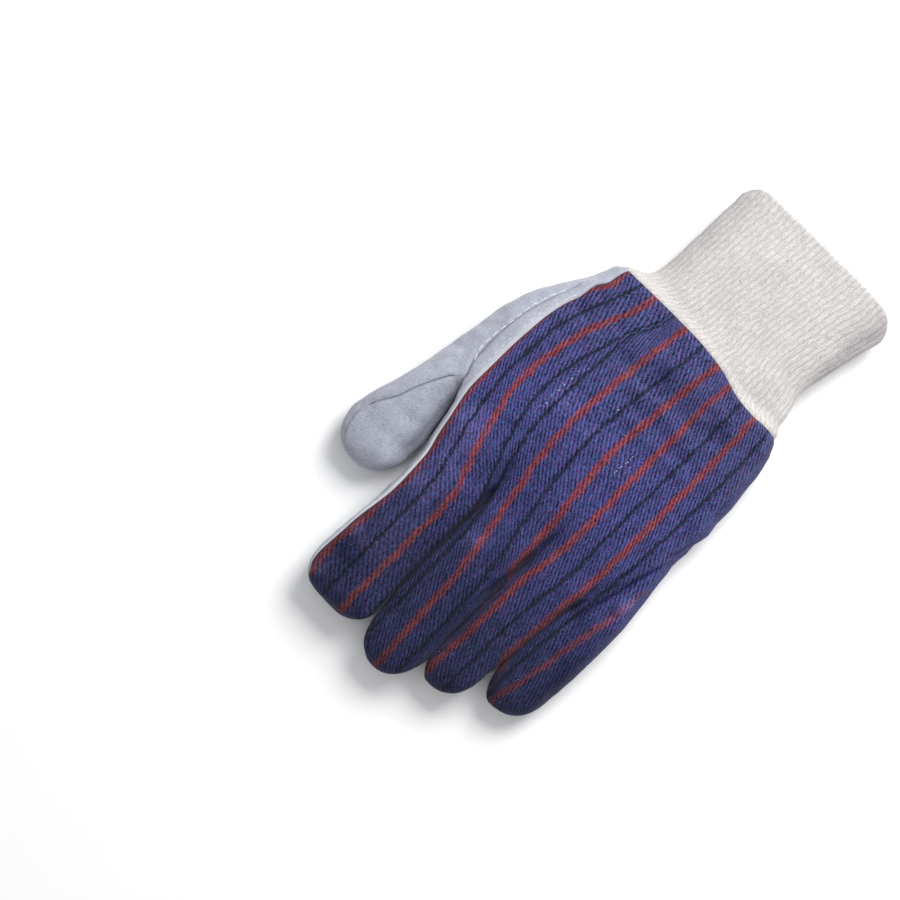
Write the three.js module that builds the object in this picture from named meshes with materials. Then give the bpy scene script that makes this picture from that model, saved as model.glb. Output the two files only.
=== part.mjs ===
// Leather palm work glove for a left hand, lying on its palm.
// Millimetres, +Z up, fingers towards +Y, thumb towards +X, floor at Z = 0.
//
// The hand is one closed skin with a single wall thickness. It is sampled as rings of points round the hand,
// ring after ring from the wrist to the knuckles, then round each finger and round the thumb.
// Each patch of the skin belongs to one sewn panel: the striped cloth back, the leather palm, or one of the
// two leather thumb pieces. A panel's solid is its patches, the same patches one wall further in, and its rim.
// The knitted cuff is a ribbed tube with a rounded hem that enters the hand at the wrist seam.
import * as THREE from "three";

const WALL = 1.5; // cloth and split leather, with their seam allowances
const SEAM_INSET = 0.2; // each panel stops this far short of a seam line
const SEAM_MITRE_LIMIT = 2.2; // most that the inset grows at a corner of a panel, as a factor
const FINGER_GAP = 0.8; // clear space between neighbouring fingers
const MITRE_LIMIT = 1.2; // most that the wall is thickened along a sharp fold, as a factor
const CENTRE = { x: 15.45, y: 62.55 }; // middle of the outline in the pattern's own coordinates

// How finely the skin is sampled: points per span between two named lines.
const ACROSS = 2; // half a finger's back or front
const FLANK = 3; // from a finger's widest line up or down to its corner

// Lines that run along the palm from wrist to knuckles, as [x, z] at each y, going round the hand.
// Row "from" and row "to" give the y where each line starts at the wrist and ends at the knuckles.
const PALM_LINES = {
  names: [
    "pinkyEdge", "pinkyCorner", "pinkyCrown", "pinkyRing", "ringCrown", "ringMiddle", "middleCrown",
    "middleIndex", "indexCrown", "clothEdge", "stitchLine",
  ],
  from: [3.6, 4.0, 4.0, 3.9, 2.6, -1.2, -2.3, -2.5, -2.5, -2.4, -2.6],
  to: [98, 99, 101, 100, 103, 100, 106, 105, 106, 103, 103],
  rows: [
    { y: 0, at: [[-48, 12], [-45.4, 19], [-40, 22.6], [-33.5, 24.2], [-23, 25.6], [-11, 25.9], [3, 26.4], [17, 26.4], [32, 25.4], [47.6, 21.2], [50.4, 18.4]] },
    { y: 20, at: [[-53.2, 10.5], [-50, 19], [-44, 23.8], [-35.5, 26.8], [-25, 28.2], [-11.5, 28.9], [3.5, 29.8], [19, 29.8], [38, 28.6], [54, 23.6], [59, 19.6]] },
    { y: 45, at: [[-55.4, 9.5], [-52.4, 18.6], [-46, 23.8], [-36.5, 27], [-25.5, 29], [-12, 30], [5, 31.4], [22, 31.8], [42, 31.2], [59, 27], [66.4, 22.8]] },
    { y: 70, at: [[-54.8, 9], [-51.6, 17.8], [-46, 22.8], [-37, 25.8], [-25, 28.4], [-11.5, 29.2], [8, 31.6], [26, 31.2], [44.5, 32], [59.8, 28.2], [67, 24.2]] },
    { y: 78, at: [[-55.2, 9], [-52, 17.4], [-46.4, 22.2], [-37.4, 24.8], [-25, 27.8], [-11.2, 28.4], [8, 31.2], [25.8, 30.2], [43.8, 31.8], [59.6, 28.2], [64.6, 25]] },
    { y: 90, at: [[-56.4, 9], [-53.4, 17], [-47, 21.6], [-37.9, 22.8], [-25, 26.6], [-11, 25.8], [7.4, 29.6], [24.3, 27], [41.8, 30.4], [57.7, 27], [59.3, 24.6]] },
    { y: 105, at: [[-58.2, 9], [-54.8, 16.8], [-47.6, 21.6], [-37.7, 18.6], [-24, 24.2], [-10.8, 19.6], [5.4, 26], [21.3, 20], [39, 27.2], [54.6, 23.4], [56.2, 20.8]] },
  ],
};
const SOLE_LINES = {
  names: [
    "thumbRoot", "indexPad", "middleIndexB", "middlePad", "ringMiddleB", "ringPad", "pinkyRingB", "pinkyPad",
    "pinkyCornerB",
  ],
  from: [0.5, 1.4, 1.5, 1.5, 1.6, 2.0, 2.6, 3.0, 3.4],
  to: [103, 106, 105, 106, 100, 103, 100, 101, 98],
  rows: [
    { y: 0, at: [[16, 1.6], [7, 0.8], [-3, 0.4], [-11, 0.2], [-19, 0.1], [-27, 0], [-34, 0], [-39, 0.4], [-44, 3.6]] },
    { y: 20, at: [[20.5, 3], [11, 1.2], [1, 0.3], [-9, 0], [-18.5, 0], [-27.5, 0], [-36, 0], [-42.5, 0], [-49.4, 3]] },
    { y: 45, at: [[29, 5], [17, 2.4], [6, 0.8], [-6, 0], [-17, 0], [-27, 0], [-37, 0], [-44.5, 0], [-51.6, 3]] },
    { y: 70, at: [[41.5, 6.4], [27, 4.4], [13, 1.6], [-1, 0.2], [-14, 0], [-26, 0], [-37.4, 0], [-45, 0], [-50.8, 3]] },
    { y: 78, at: [[47, 6.6], [31, 5], [16, 2], [1.5, 0.4], [-13, 0], [-25.6, 0], [-37.6, 0], [-45.4, 0], [-51.2, 3.2]] },
    { y: 90, at: [[52, 7.4], [36, 5], [19.6, 2.6], [3.6, 0.5], [-11.8, 0.8], [-25, 0], [-37.8, 0.8], [-46, 0], [-52.6, 3.6]] },
    { y: 105, at: [[50.6, 6.4], [38, 3.6], [21.3, 5.4], [5.4, 0.4], [-10.8, 4.8], [-24, 0], [-37.7, 4.8], [-47.2, 0], [-54.2, 4]] },
  ],
};
// The thumb's own lines: round its outer side from the wrist, then right round it beyond its root.
const THUMB_LINES = {
  names: ["corner", "edge", "cornerB", "pad"],
  rows: [
    { y: -3, at: [[50.6, 17], [51, 12], [48.4, 5], [33, 1]] },
    { y: 10, at: [[55.8, 16], [57.4, 11.6], [54, 3.8], [37, 0]] },
    { y: 20, at: [[62, 16.4], [63.5, 11.6], [59.6, 3.2], [42, 0]] },
    { y: 32, at: [[68.5, 17], [70.4, 11.6], [66.6, 3], [48, 0]] },
    { y: 45, at: [[71.8, 18], [74.5, 11.6], [70.6, 2.8], [54, 0]] },
    { y: 60, at: [[74, 18.4], [77.2, 11.4], [73.4, 2.8], [59, 0]] },
    { y: 78, at: [[76.4, 18.2], [80, 11], [76, 2.8], [63, 0]] },
    { y: 90, at: [[79.4, 18], [82.6, 10.6], [78.8, 2.8], [67, 0]] },
    { y: 100, at: [[82.2, 17.4], [85.2, 10.4], [81.4, 2.8], [69.6, 0]] },
    { y: 110, at: [[85.4, 16], [88.1, 10.2], [84.4, 2.8], [71.4, 0]] },
    { y: 120, at: [[88, 14], [90, 9.8], [86, 2.8], [73, 0]] },
  ],
};
const THUMB_INNER_LINES = {
  names: ["root", "innerEdge", "innerTop", "seam"],
  rows: [
    { y: 84, at: [[55.5, 4.6], [58.6, 10.6], [62.9, 19.4], [69.6, 22.8]] },
    { y: 91, at: [[58, 3.2], [59.6, 9.4], [61.9, 18], [73.4, 21.8]] },
    { y: 98, at: [[59, 2.6], [58.8, 8.8], [61, 17.2], [76.6, 21]] },
    { y: 105, at: [[59.6, 2.4], [58.2, 8.6], [60.4, 16.8], [79, 20]] },
    { y: 112, at: [[60.2, 2.4], [57.2, 8.6], [60.4, 16.8], [83.4, 18.2]] },
    { y: 120, at: [[61.4, 2.6], [57.8, 8.8], [62.2, 16.6], [87, 15.4]] },
  ],
};
const THUMB = { rootY: 78, tip: { x: 74.6, y: 138.2, z: 8.6 }, roundness: 2.3 };

// Fingers from knuckle to shoulder. left and right are the sides of the outline, top and sole the heights.
const FINGERS = {
  pinky: {
    rows: [
      { y: 112, left: -58.8, right: -36.8, top: 21.4, sole: 0 },
      { y: 125, left: -59.1, right: -35.2, top: 20.8, sole: 0 },
      { y: 139, left: -58.9, right: -33.7, top: 20, sole: 0 },
      { y: 149, left: -58.2, right: -32.8, top: 18.8, sole: 0 },
    ],
    tip: { x: -42, y: 169.1, z: 8.6 },
    roundness: 2.25,
  },
  ring: {
    rows: [
      { y: 114, left: -36.7, right: -10.0, top: 23.8, sole: 0 },
      { y: 130, left: -34.7, right: -9.2, top: 22.6, sole: 0 },
      { y: 148, left: -32.9, right: -8.9, top: 21.4, sole: 0 },
      { y: 162, left: -31.4, right: -8.7, top: 20, sole: 0 },
    ],
    tip: { x: -17.3, y: 181.3, z: 9 },
    roundness: 2.4,
  },
  middle: {
    rows: [
      { y: 117, left: -9.9, right: 21.3, top: 25, sole: 0.3 },
      { y: 136, left: -9.0, right: 22.1, top: 23.6, sole: 0 },
      { y: 155, left: -8.7, right: 22.4, top: 22.2, sole: 0 },
      { y: 170, left: -8.4, right: 19.6, top: 20.8, sole: 0 },
    ],
    tip: { x: 5.8, y: 192.8, z: 9.4 },
    roundness: 2.3,
  },
  index: {
    rows: [
      { y: 116, left: 21.4, right: 54.2, top: 26, sole: 2.8 },
      { y: 134, left: 22.0, right: 53.9, top: 24.4, sole: 1.8 },
      { y: 154, left: 22.6, right: 55.2, top: 22.8, sole: 0.8 },
      { y: 170, left: 20.6, right: 56.2, top: 21.2, sole: 0 },
    ],
    tip: { x: 38.8, y: 187.7, z: 9.4 },
    roundness: 2.5,
  },
};
const CORNER = { inset: 2.5, drop: 3.7, soleInset: 2.7, soleRise: 3.8 }; // rounding of a finger's section
const CLOTH_EDGE = { inset: 2.5, drop: 3.3 }; // the back's seam on the index finger's outer side
const WELT = { inset: 0.9, drop: 6.0 };
const TIP_ANGLES = [24, 44, 62, 76]; // degrees round the fingertip, a ring at each

// Folds, gathers and dents of the back: how far the skin rises there, the middle, and the half-widths.
const BACK_DENTS = [
  // Hollows of the gathers that the wrist seam holds.
  { rise: -1.0, x: -27, y: 20, across: 6, along: 5 },
  { rise: -0.9, x: -11, y: 21, across: 4.5, along: 4.5 },
  { rise: -1.3, x: 5, y: 21, across: 6.5, along: 5 },
  { rise: -1.2, x: 26, y: 23, across: 5, along: 5 },
  { rise: -1.1, x: 47, y: 20, across: 5.5, along: 6 },
  // Folds across the back of the hand.
  { rise: 1.0, x: -6, y: 11, across: 30, along: 5 },
  { rise: -1.1, x: -6, y: 26, across: 30, along: 4.5 },
  { rise: 0.8, x: 0, y: 32, across: 26, along: 4 },
  { rise: -0.9, x: -8, y: 39, across: 24, along: 4 },
  // Swellings over the knuckles, and the hollow beside the index finger's.
  { rise: 0.9, x: 12, y: 60, across: 16, along: 15 },
  { rise: 0.7, x: -30, y: 66, across: 12, along: 16 },
  { rise: 0.8, x: 42, y: 80, across: 10, along: 14 },
  { rise: -1.0, x: 28, y: 78, across: 6, along: 14 },
  // Pleats of the little finger's side, and the worn bends of the fingers.
  { rise: -1.5, x: -47, y: 92, across: 3.5, along: 12 },
  { rise: 1.0, x: -53, y: 100, across: 4, along: 7 },
  { rise: 0.8, x: 11, y: 126, across: 6, along: 8 },
  { rise: -0.9, x: 38, y: 136, across: 10, along: 8 },
  { rise: -0.6, x: 48, y: 170, across: 6, along: 5 },
  { rise: -0.8, x: -48, y: 139, across: 8, along: 8 },
];
const DENTS_FROM = { y: 4, over: 6 }; // the wrist seam itself stays level

// Rings of the palm: shares of the way from wrist to knuckles. The thumb leaves at ring THUMB_RING.
const PALM_RINGS = [0, 0.12, 0.22, 0.315, 0.385, 0.51, 0.635, 0.763, 0.84, 0.92, 1];
const THUMB_RING = 7;
const INDEX_BULGE = [0, 0.9, 1.9, 2.8]; // how far the index finger's side stands out, from THUMB_RING on

// The knitted cuff. left and right are the outline, top and sole the heights, at each y.
const CUFF = {
  wall: 2.6,
  clearance: 0.35, // to the hand's wall
  ribs: 84,
  ribHeight: 0.4,
  roundness: 2.5,
  plainBand: 3.5, // unribbed edge below the seam
  flare: { from: 0.6, to: 6.5 }, // distance below the seam over which it narrows from the hand to the tube
  seamRings: [{ below: -7, inset: 0.8 }, { below: -0.5, inset: 0 }, { below: 4.6, inset: 0 }],
  rows: [
    { y: 8, left: -44.6, right: 45, top: 22.8, sole: 1.2 },
    { y: -5, left: -44.4, right: 43.4, top: 23.2, sole: 0.6 },
    { y: -10, left: -43.4, right: 39.8, top: 22.8, sole: 0.2 },
    { y: -17, left: -41.6, right: 38.2, top: 22.4, sole: 0 },
    { y: -30, left: -43.6, right: 37.5, top: 22.2, sole: 0 },
    { y: -45, left: -46.8, right: 37, top: 22.2, sole: 0 },
    { y: -58, left: -50.2, right: 36.6, top: 21.8, sole: 0 },
    { y: -68.6, left: -51.4, right: 36.4, top: 21.4, sole: 0 },
  ],
  outsideRings: [0.17, 0.36, 0.6, 0.84, 0.96], // shares of the way from seam to hem
  insideRings: [0.94, 0.5, 0.17],
  hemY: -68.6,
  hemRise: { left: 10.5, right: 7, leftPower: 11, rightPower: 18 }, // how the hem's corners are rounded off
};

const COLOURS = {
  cloth: { color: 0x2f2f6e, roughness: 0.92, metalness: 0 },
  leather: { color: 0xa9afbd, roughness: 0.95, metalness: 0 },
  knit: { color: 0xd9d5cf, roughness: 0.95, metalness: 0 },
};

// Smooth curve through table rows: value and slope by neighbouring rows.
function along(rows, y, pick) {
  const last = rows.length - 1;
  const rising = rows[last].y > rows[0].y;
  let k = 0;
  while (k < last - 1 && (rising ? y > rows[k + 1].y : y < rows[k + 1].y)) k++;
  const slope = (i) => {
    const a = Math.max(0, i - 1);
    const b = Math.min(last, i + 1);
    return (pick(rows[b]) - pick(rows[a])) / (rows[b].y - rows[a].y);
  };
  const h = rows[k + 1].y - rows[k].y;
  const t = Math.min(1, Math.max(0, (y - rows[k].y) / h));
  const t2 = t * t;
  const t3 = t2 * t;
  return (
    (2 * t3 - 3 * t2 + 1) * pick(rows[k]) +
    (t3 - 2 * t2 + t) * h * slope(k) +
    (3 * t2 - 2 * t3) * pick(rows[k + 1]) +
    (t3 - t2) * h * slope(k + 1)
  );
}

const pointOn = (lines, name, y) => {
  const column = lines.names.indexOf(name);
  return new THREE.Vector3(
    along(lines.rows, y, (row) => row.at[column][0]),
    y,
    along(lines.rows, y, (row) => row.at[column][1]),
  );
};

// A closed ring through named control points. spans: [from, to, count, panel] in order round the ring.
function ring(controls, spans) {
  const curve = new THREE.CatmullRomCurve3(
    spans.map(([from]) => controls[from]),
    true,
    "centripetal",
  );
  const patches = {};
  spans.forEach(([from, to, count, panel], i) => {
    const points = [];
    for (let n = 0; n <= count; n++) {
      const point = curve.getPoint(((i + n / count) % spans.length) / spans.length);
      point.z = Math.max(0, point.z);
      points.push(point);
    }
    patches[from + ">" + to] = { points, panel };
  });
  return patches;
}

const straight = (a, b, count) => Array.from({ length: count + 1 }, (_, n) => a.clone().lerp(b, n / count));

// The skin: shared vertices and four-sided faces, each with the name of its panel.
const skin = { points: [], faces: [], index: new Map() };
function vertex(p) {
  const key = [p.x, p.y, p.z].map((v) => Math.round(v * 1000)).join();
  if (!skin.index.has(key)) {
    skin.index.set(key, skin.points.length);
    skin.points.push(p.clone());
  }
  return skin.index.get(key);
}
function patch(before, after, panel) {
  for (let n = 0; n + 1 < before.length; n++)
    skin.faces.push({
      panel,
      corners: [before[n], before[n + 1], after[n + 1], after[n]].map(vertex),
    });
}
function joinRings(a, b) {
  for (const name of Object.keys(a)) if (b[name]) patch(a[name].points, b[name].points, a[name].panel);
}

// Fills the end ring of a finger with a grid of faces that bulges to the tip.
function cap(top, right, sole, left, tip, panel) {
  const across = top.length - 1;
  const down = right.length - 1;
  const edges = { top, right, sole: [...sole].reverse(), left: [...left].reverse() };
  const grid = [];
  for (let r = 0; r <= down; r++) {
    grid.push([]);
    for (let s = 0; s <= across; s++) {
      const u = s / across;
      const v = r / down;
      const onEdge = r === 0 ? edges.top[s] : r === down ? edges.sole[s] : s === 0 ? edges.left[r] : edges.right[r];
      if (r === 0 || r === down || s === 0 || s === across) {
        grid[r].push(onEdge);
        continue;
      }
      const p = edges.top[s].clone().multiplyScalar(1 - v).addScaledVector(edges.sole[s], v);
      p.addScaledVector(edges.left[r], 1 - u).addScaledVector(edges.right[r], u);
      p.addScaledVector(edges.top[0], -(1 - u) * (1 - v)).addScaledVector(edges.top[across], -u * (1 - v));
      p.addScaledVector(edges.sole[0], -(1 - u) * v).addScaledVector(edges.sole[across], -u * v);
      const a = (2 * u - 1) ** 2;
      const b = (2 * v - 1) ** 2;
      p.y += (tip.y - p.y) * (1 - (a + b - a * b));
      grid[r].push(p);
    }
  }
  for (let r = 0; r < down; r++) patch(grid[r], grid[r + 1], panel);
}

// A ring of the palm, or of palm and thumb together while they are still one.
function palmRing(ringNumber) {
  const share = PALM_RINGS[ringNumber];
  const controls = {};
  for (const lines of [PALM_LINES, SOLE_LINES])
    lines.names.forEach((name, i) => {
      const y = lines.from[i] + share * (lines.to[i] - lines.from[i]);
      controls[name] = pointOn(lines, name, y);
    });
  const start = PALM_LINES.from[PALM_LINES.names.indexOf("stitchLine")];
  const thumbY = start + (share / PALM_RINGS[THUMB_RING]) * (THUMB.rootY - start);
  for (const name of THUMB_LINES.names) controls["thumb" + name] = pointOn(THUMB_LINES, name, thumbY);
  controls.indexEdge = controls.stitchLine.clone().lerp(controls.thumbRoot, 0.5);
  controls.indexEdge.x += INDEX_BULGE[Math.max(0, ringNumber - THUMB_RING)];

  const back = [
    ["pinkyCornerB", "pinkyEdge", FLANK, "back_panel"],
    ["pinkyEdge", "pinkyCorner", FLANK, "back_panel"],
    ["pinkyCorner", "pinkyCrown", ACROSS, "back_panel"],
    ["pinkyCrown", "pinkyRing", ACROSS, "back_panel"],
    ["pinkyRing", "ringCrown", ACROSS, "back_panel"],
    ["ringCrown", "ringMiddle", ACROSS, "back_panel"],
    ["ringMiddle", "middleCrown", ACROSS, "back_panel"],
    ["middleCrown", "middleIndex", ACROSS, "back_panel"],
    ["middleIndex", "indexCrown", ACROSS, "back_panel"],
    ["indexCrown", "clothEdge", ACROSS, "back_panel"],
    ["clothEdge", "stitchLine", 1, "palm_panel"],
  ];
  const thumb = [
    ["stitchLine", "thumbcorner", 2 * ACROSS, "thumb_outer"],
    ["thumbcorner", "thumbedge", FLANK - 1, "thumb_outer"],
    ["thumbedge", "thumbcornerB", FLANK, "thumb_outer"],
    ["thumbcornerB", "thumbpad", ACROSS, "thumb_outer"],
    ["thumbpad", "thumbRoot", ACROSS, "thumb_outer"],
  ];
  const indexSide = [
    ["stitchLine", "indexEdge", FLANK - 1, "palm_panel"],
    ["indexEdge", "thumbRoot", FLANK, "palm_panel"],
  ];
  const sole = [
    ["thumbRoot", "indexPad", ACROSS, "palm_panel"],
    ["indexPad", "middleIndexB", ACROSS, "palm_panel"],
    ["middleIndexB", "middlePad", ACROSS, "palm_panel"],
    ["middlePad", "ringMiddleB", ACROSS, "palm_panel"],
    ["ringMiddleB", "ringPad", ACROSS, "palm_panel"],
    ["ringPad", "pinkyRingB", ACROSS, "palm_panel"],
    ["pinkyRingB", "pinkyPad", ACROSS, "palm_panel"],
    ["pinkyPad", "pinkyCornerB", ACROSS, "palm_panel"],
  ];
  const made = ring(controls, [...back, ...(ringNumber <= THUMB_RING ? thumb : indexSide), ...sole]);
  if (ringNumber === THUMB_RING) {
    // The fold between thumb and index finger is a straight line here, shared by both.
    const fold = straight(controls.stitchLine, controls.thumbRoot, 2 * FLANK - 1);
    made["stitchLine>indexEdge"] = { points: fold.slice(0, FLANK), panel: "palm_panel" };
    made["indexEdge>thumbRoot"] = { points: fold.slice(FLANK - 1), panel: "palm_panel" };
    made.fold = fold;
  }
  return made;
}

// The four sides of a finger's first ring, taken from the palm's last ring.
function knuckle(last, names) {
  const side = (from, via, to) => [...last[from + ">" + via].points, ...last[via + ">" + to].points.slice(1)];
  const top = side(names.left, names.crown, names.right);
  const sole = side(names.rightB, names.pad, names.leftB);
  const right = names.rightEdge
    ? [...last["clothEdge>stitchLine"].points, ...side("stitchLine", names.rightEdge, names.rightB).slice(1)]
    : straight(top[top.length - 1], sole[0], 2 * FLANK);
  const left = names.leftEdge
    ? side(names.leftB, names.leftEdge, names.left)
    : straight(sole[sole.length - 1], top[0], 2 * FLANK);
  return { top, right, sole, left };
}

const KNUCKLES = {
  pinky: { left: "pinkyCorner", crown: "pinkyCrown", right: "pinkyRing", rightB: "pinkyRingB", pad: "pinkyPad", leftB: "pinkyCornerB", leftEdge: "pinkyEdge" },
  ring: { left: "pinkyRing", crown: "ringCrown", right: "ringMiddle", rightB: "ringMiddleB", pad: "ringPad", leftB: "pinkyRingB" },
  middle: { left: "ringMiddle", crown: "middleCrown", right: "middleIndex", rightB: "middleIndexB", pad: "middlePad", leftB: "ringMiddleB" },
  index: { left: "middleIndex", crown: "indexCrown", right: "clothEdge", rightB: "thumbRoot", pad: "indexPad", leftB: "middleIndexB", rightEdge: "indexEdge" },
};

// One ring of a finger from its row of sizes.
function fingerRing(name, row) {
  const middle = (row.left + row.right) / 2;
  const halfway = (row.top + row.sole) / 2 - 0.5;
  const halfGap = FINGER_GAP / 2;
  const left = row.left + (name === "pinky" ? 0 : halfGap);
  const right = row.right - (name === "index" ? 0 : halfGap);
  const at = (x, z) => new THREE.Vector3(x, row.y, z);
  const leather = name === "index";
  const controls = {
    topLeft: at(left + CORNER.inset, row.top - CORNER.drop),
    crown: at(middle, row.top),
    topRight: leather
      ? at(right - CLOTH_EDGE.inset, row.top - CLOTH_EDGE.drop)
      : at(right - CORNER.inset, row.top - CORNER.drop),
    welt: at(right - WELT.inset, row.top - WELT.drop),
    rightEdge: at(right, halfway),
    soleRight: at(right - CORNER.soleInset, row.sole + CORNER.soleRise),
    pad: at(middle, row.sole),
    soleLeft: at(left + CORNER.soleInset, row.sole + CORNER.soleRise),
    leftEdge: at(left, halfway),
  };
  const rightSide = leather
    ? [["topRight", "welt", 1, "palm_panel"], ["welt", "rightEdge", FLANK - 1, "palm_panel"], ["rightEdge", "soleRight", FLANK, "palm_panel"]]
    : [["topRight", "rightEdge", FLANK, "back_panel"], ["rightEdge", "soleRight", FLANK, "back_panel"]];
  const made = ring(controls, [
    ["topLeft", "crown", ACROSS, "back_panel"],
    ["crown", "topRight", ACROSS, "back_panel"],
    ...rightSide,
    ["soleRight", "pad", ACROSS, "palm_panel"],
    ["pad", "soleLeft", ACROSS, "palm_panel"],
    ["soleLeft", "leftEdge", FLANK, "back_panel"],
    ["leftEdge", "topLeft", FLANK, "back_panel"],
  ]);
  const run = (...keys) => keys.flatMap((key, i) => (i ? made[key].points.slice(1) : made[key].points));
  return {
    top: run("topLeft>crown", "crown>topRight"),
    right: leather
      ? run("topRight>welt", "welt>rightEdge", "rightEdge>soleRight")
      : run("topRight>rightEdge", "rightEdge>soleRight"),
    sole: run("soleRight>pad", "pad>soleLeft"),
    left: run("soleLeft>leftEdge", "leftEdge>topLeft"),
  };
}

// A ring near the tip: the shoulder's ring drawn in towards the tip's own centre.
function tipRing(shoulder, shoulderY, tip, roundness, degrees) {
  const reach = Math.sin((degrees * Math.PI) / 180);
  const width = (1 - reach ** roundness) ** (1 / roundness);
  const draw = (p) =>
    new THREE.Vector3(
      tip.x + (p.x - tip.x) * width,
      shoulderY + (tip.y - shoulderY) * reach,
      tip.z + (p.z - tip.z) * width,
    );
  return Object.fromEntries(Object.entries(shoulder).map(([side, points]) => [side, points.map(draw)]));
}

function joinSides(a, b, panels) {
  for (const [side, panel] of Object.entries(panels)) patch(a[side], b[side], panel);
}

function finger(name, last) {
  const { rows, tip, roundness } = FINGERS[name];
  const panels = { top: "back_panel", right: name === "index" ? "palm_panel" : "back_panel", sole: "palm_panel", left: "back_panel" };
  const rings = [knuckle(last, KNUCKLES[name]), ...rows.map((row) => fingerRing(name, row))];
  const shoulder = rings[rings.length - 1];
  const shoulderY = rows[rows.length - 1].y;
  for (const degrees of TIP_ANGLES) rings.push(tipRing(shoulder, shoulderY, tip, roundness, degrees));
  rings.slice(1).forEach((r, i) => joinSides(rings[i], r, panels));
  const end = rings[rings.length - 1];
  cap(end.top, end.right, end.sole, end.left, tip, "back_panel");
}

// The thumb beyond its root: the two leather pieces meet along the seam line and under the thumb.
function thumbRing(y) {
  const controls = {};
  for (const name of THUMB_LINES.names) controls[name] = pointOn(THUMB_LINES, name, y);
  for (const name of THUMB_INNER_LINES.names) controls[name] = pointOn(THUMB_INNER_LINES, name, y);
  const made = ring(controls, [
    ["seam", "corner", 2 * ACROSS, "thumb_outer"],
    ["corner", "edge", FLANK - 1, "thumb_outer"],
    ["edge", "cornerB", FLANK, "thumb_outer"],
    ["cornerB", "pad", ACROSS, "thumb_outer"],
    ["pad", "root", ACROSS, "thumb_outer"],
    ["root", "innerEdge", 1, "thumb_inner"],
    ["innerEdge", "innerTop", 2, "thumb_inner"],
    ["innerTop", "seam", 2, "thumb_inner"],
  ]);
  const run = (...keys) => keys.flatMap((key, i) => (i ? made[key].points.slice(1) : made[key].points));
  return {
    top: run("seam>corner"),
    right: run("corner>edge", "edge>cornerB"),
    sole: run("cornerB>pad", "pad>root"),
    left: run("root>innerEdge", "innerEdge>innerTop", "innerTop>seam"),
  };
}

function thumb(rootRing) {
  const panels = { top: "thumb_outer", right: "thumb_outer", sole: "thumb_outer", left: "thumb_inner" };
  const join = (...keys) => keys.flatMap((key, i) => (i ? rootRing[key].points.slice(1) : rootRing[key].points));
  const rings = [
    {
      top: join("stitchLine>thumbcorner"),
      right: join("thumbcorner>thumbedge", "thumbedge>thumbcornerB"),
      sole: join("thumbcornerB>thumbpad", "thumbpad>thumbRoot"),
      left: [...rootRing.fold].reverse(),
    },
    ...THUMB_INNER_LINES.rows.map((row) => thumbRing(row.y)),
  ];
  const shoulder = rings[rings.length - 1];
  const shoulderY = THUMB_INNER_LINES.rows[THUMB_INNER_LINES.rows.length - 1].y;
  for (const degrees of TIP_ANGLES) rings.push(tipRing(shoulder, shoulderY, THUMB.tip, THUMB.roundness, degrees));
  rings.slice(1).forEach((r, i) => joinSides(rings[i], r, panels));
  const end = rings[rings.length - 1];
  cap(end.top, end.right, end.sole, end.left, THUMB.tip, "thumb_inner");
}

function buildSkin() {
  const rings = PALM_RINGS.map((_, i) => palmRing(i));
  rings.slice(1).forEach((r, i) => {
    const before = { ...rings[i] };
    const after = { ...r };
    delete before.fold;
    delete after.fold;
    joinRings(before, after);
  });
  for (const name of Object.keys(FINGERS)) finger(name, rings[rings.length - 1]);
  thumb(rings[THUMB_RING]);
}

function faceNormal({ corners: [a, b, c, d] }) {
  const p = skin.points;
  return new THREE.Vector3().subVectors(p[c], p[a]).cross(new THREE.Vector3().subVectors(p[d], p[b])).normalize();
}

function skinNormals(faceNormals) {
  const normals = skin.points.map(() => new THREE.Vector3());
  skin.faces.forEach(({ corners }, i) => corners.forEach((v) => normals[v].add(faceNormals[i])));
  normals.forEach((n) => n.normalize());
  return normals;
}

// Raises and lowers the upper side of the skin by its dents.
function dentBack() {
  const normals = skinNormals(skin.faces.map(faceNormal));
  skin.points.forEach((p, v) => {
    const rise = BACK_DENTS.reduce((sum, dent) => {
      const away = ((p.x - dent.x) / dent.across) ** 2 + ((p.y - dent.y) / dent.along) ** 2;
      return sum + dent.rise * Math.exp(-away);
    }, 0);
    const upper = THREE.MathUtils.smoothstep(normals[v].z, 0, 0.5);
    const fromSeam = THREE.MathUtils.smoothstep(p.y - DENTS_FROM.y, 0, DENTS_FROM.over);
    p.z += rise * upper * fromSeam;
  });
}

// Outward direction at each vertex, and how much further in the wall has to go at a fold.
function wallOffsets() {
  const faceNormals = skin.faces.map(faceNormal);
  const normals = skinNormals(faceNormals);
  const agreement = skin.points.map(() => ({ sum: 0, count: 0 }));
  skin.faces.forEach(({ corners }, i) =>
    corners.forEach((v) => {
      agreement[v].sum += Math.max(0, normals[v].dot(faceNormals[i]));
      agreement[v].count += 1;
    }),
  );
  return normals.map((n, v) => {
    const mean = agreement[v].sum / agreement[v].count;
    return n.clone().multiplyScalar(-WALL * Math.min(MITRE_LIMIT, 1 / Math.max(mean, 1e-3)));
  });
}

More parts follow.
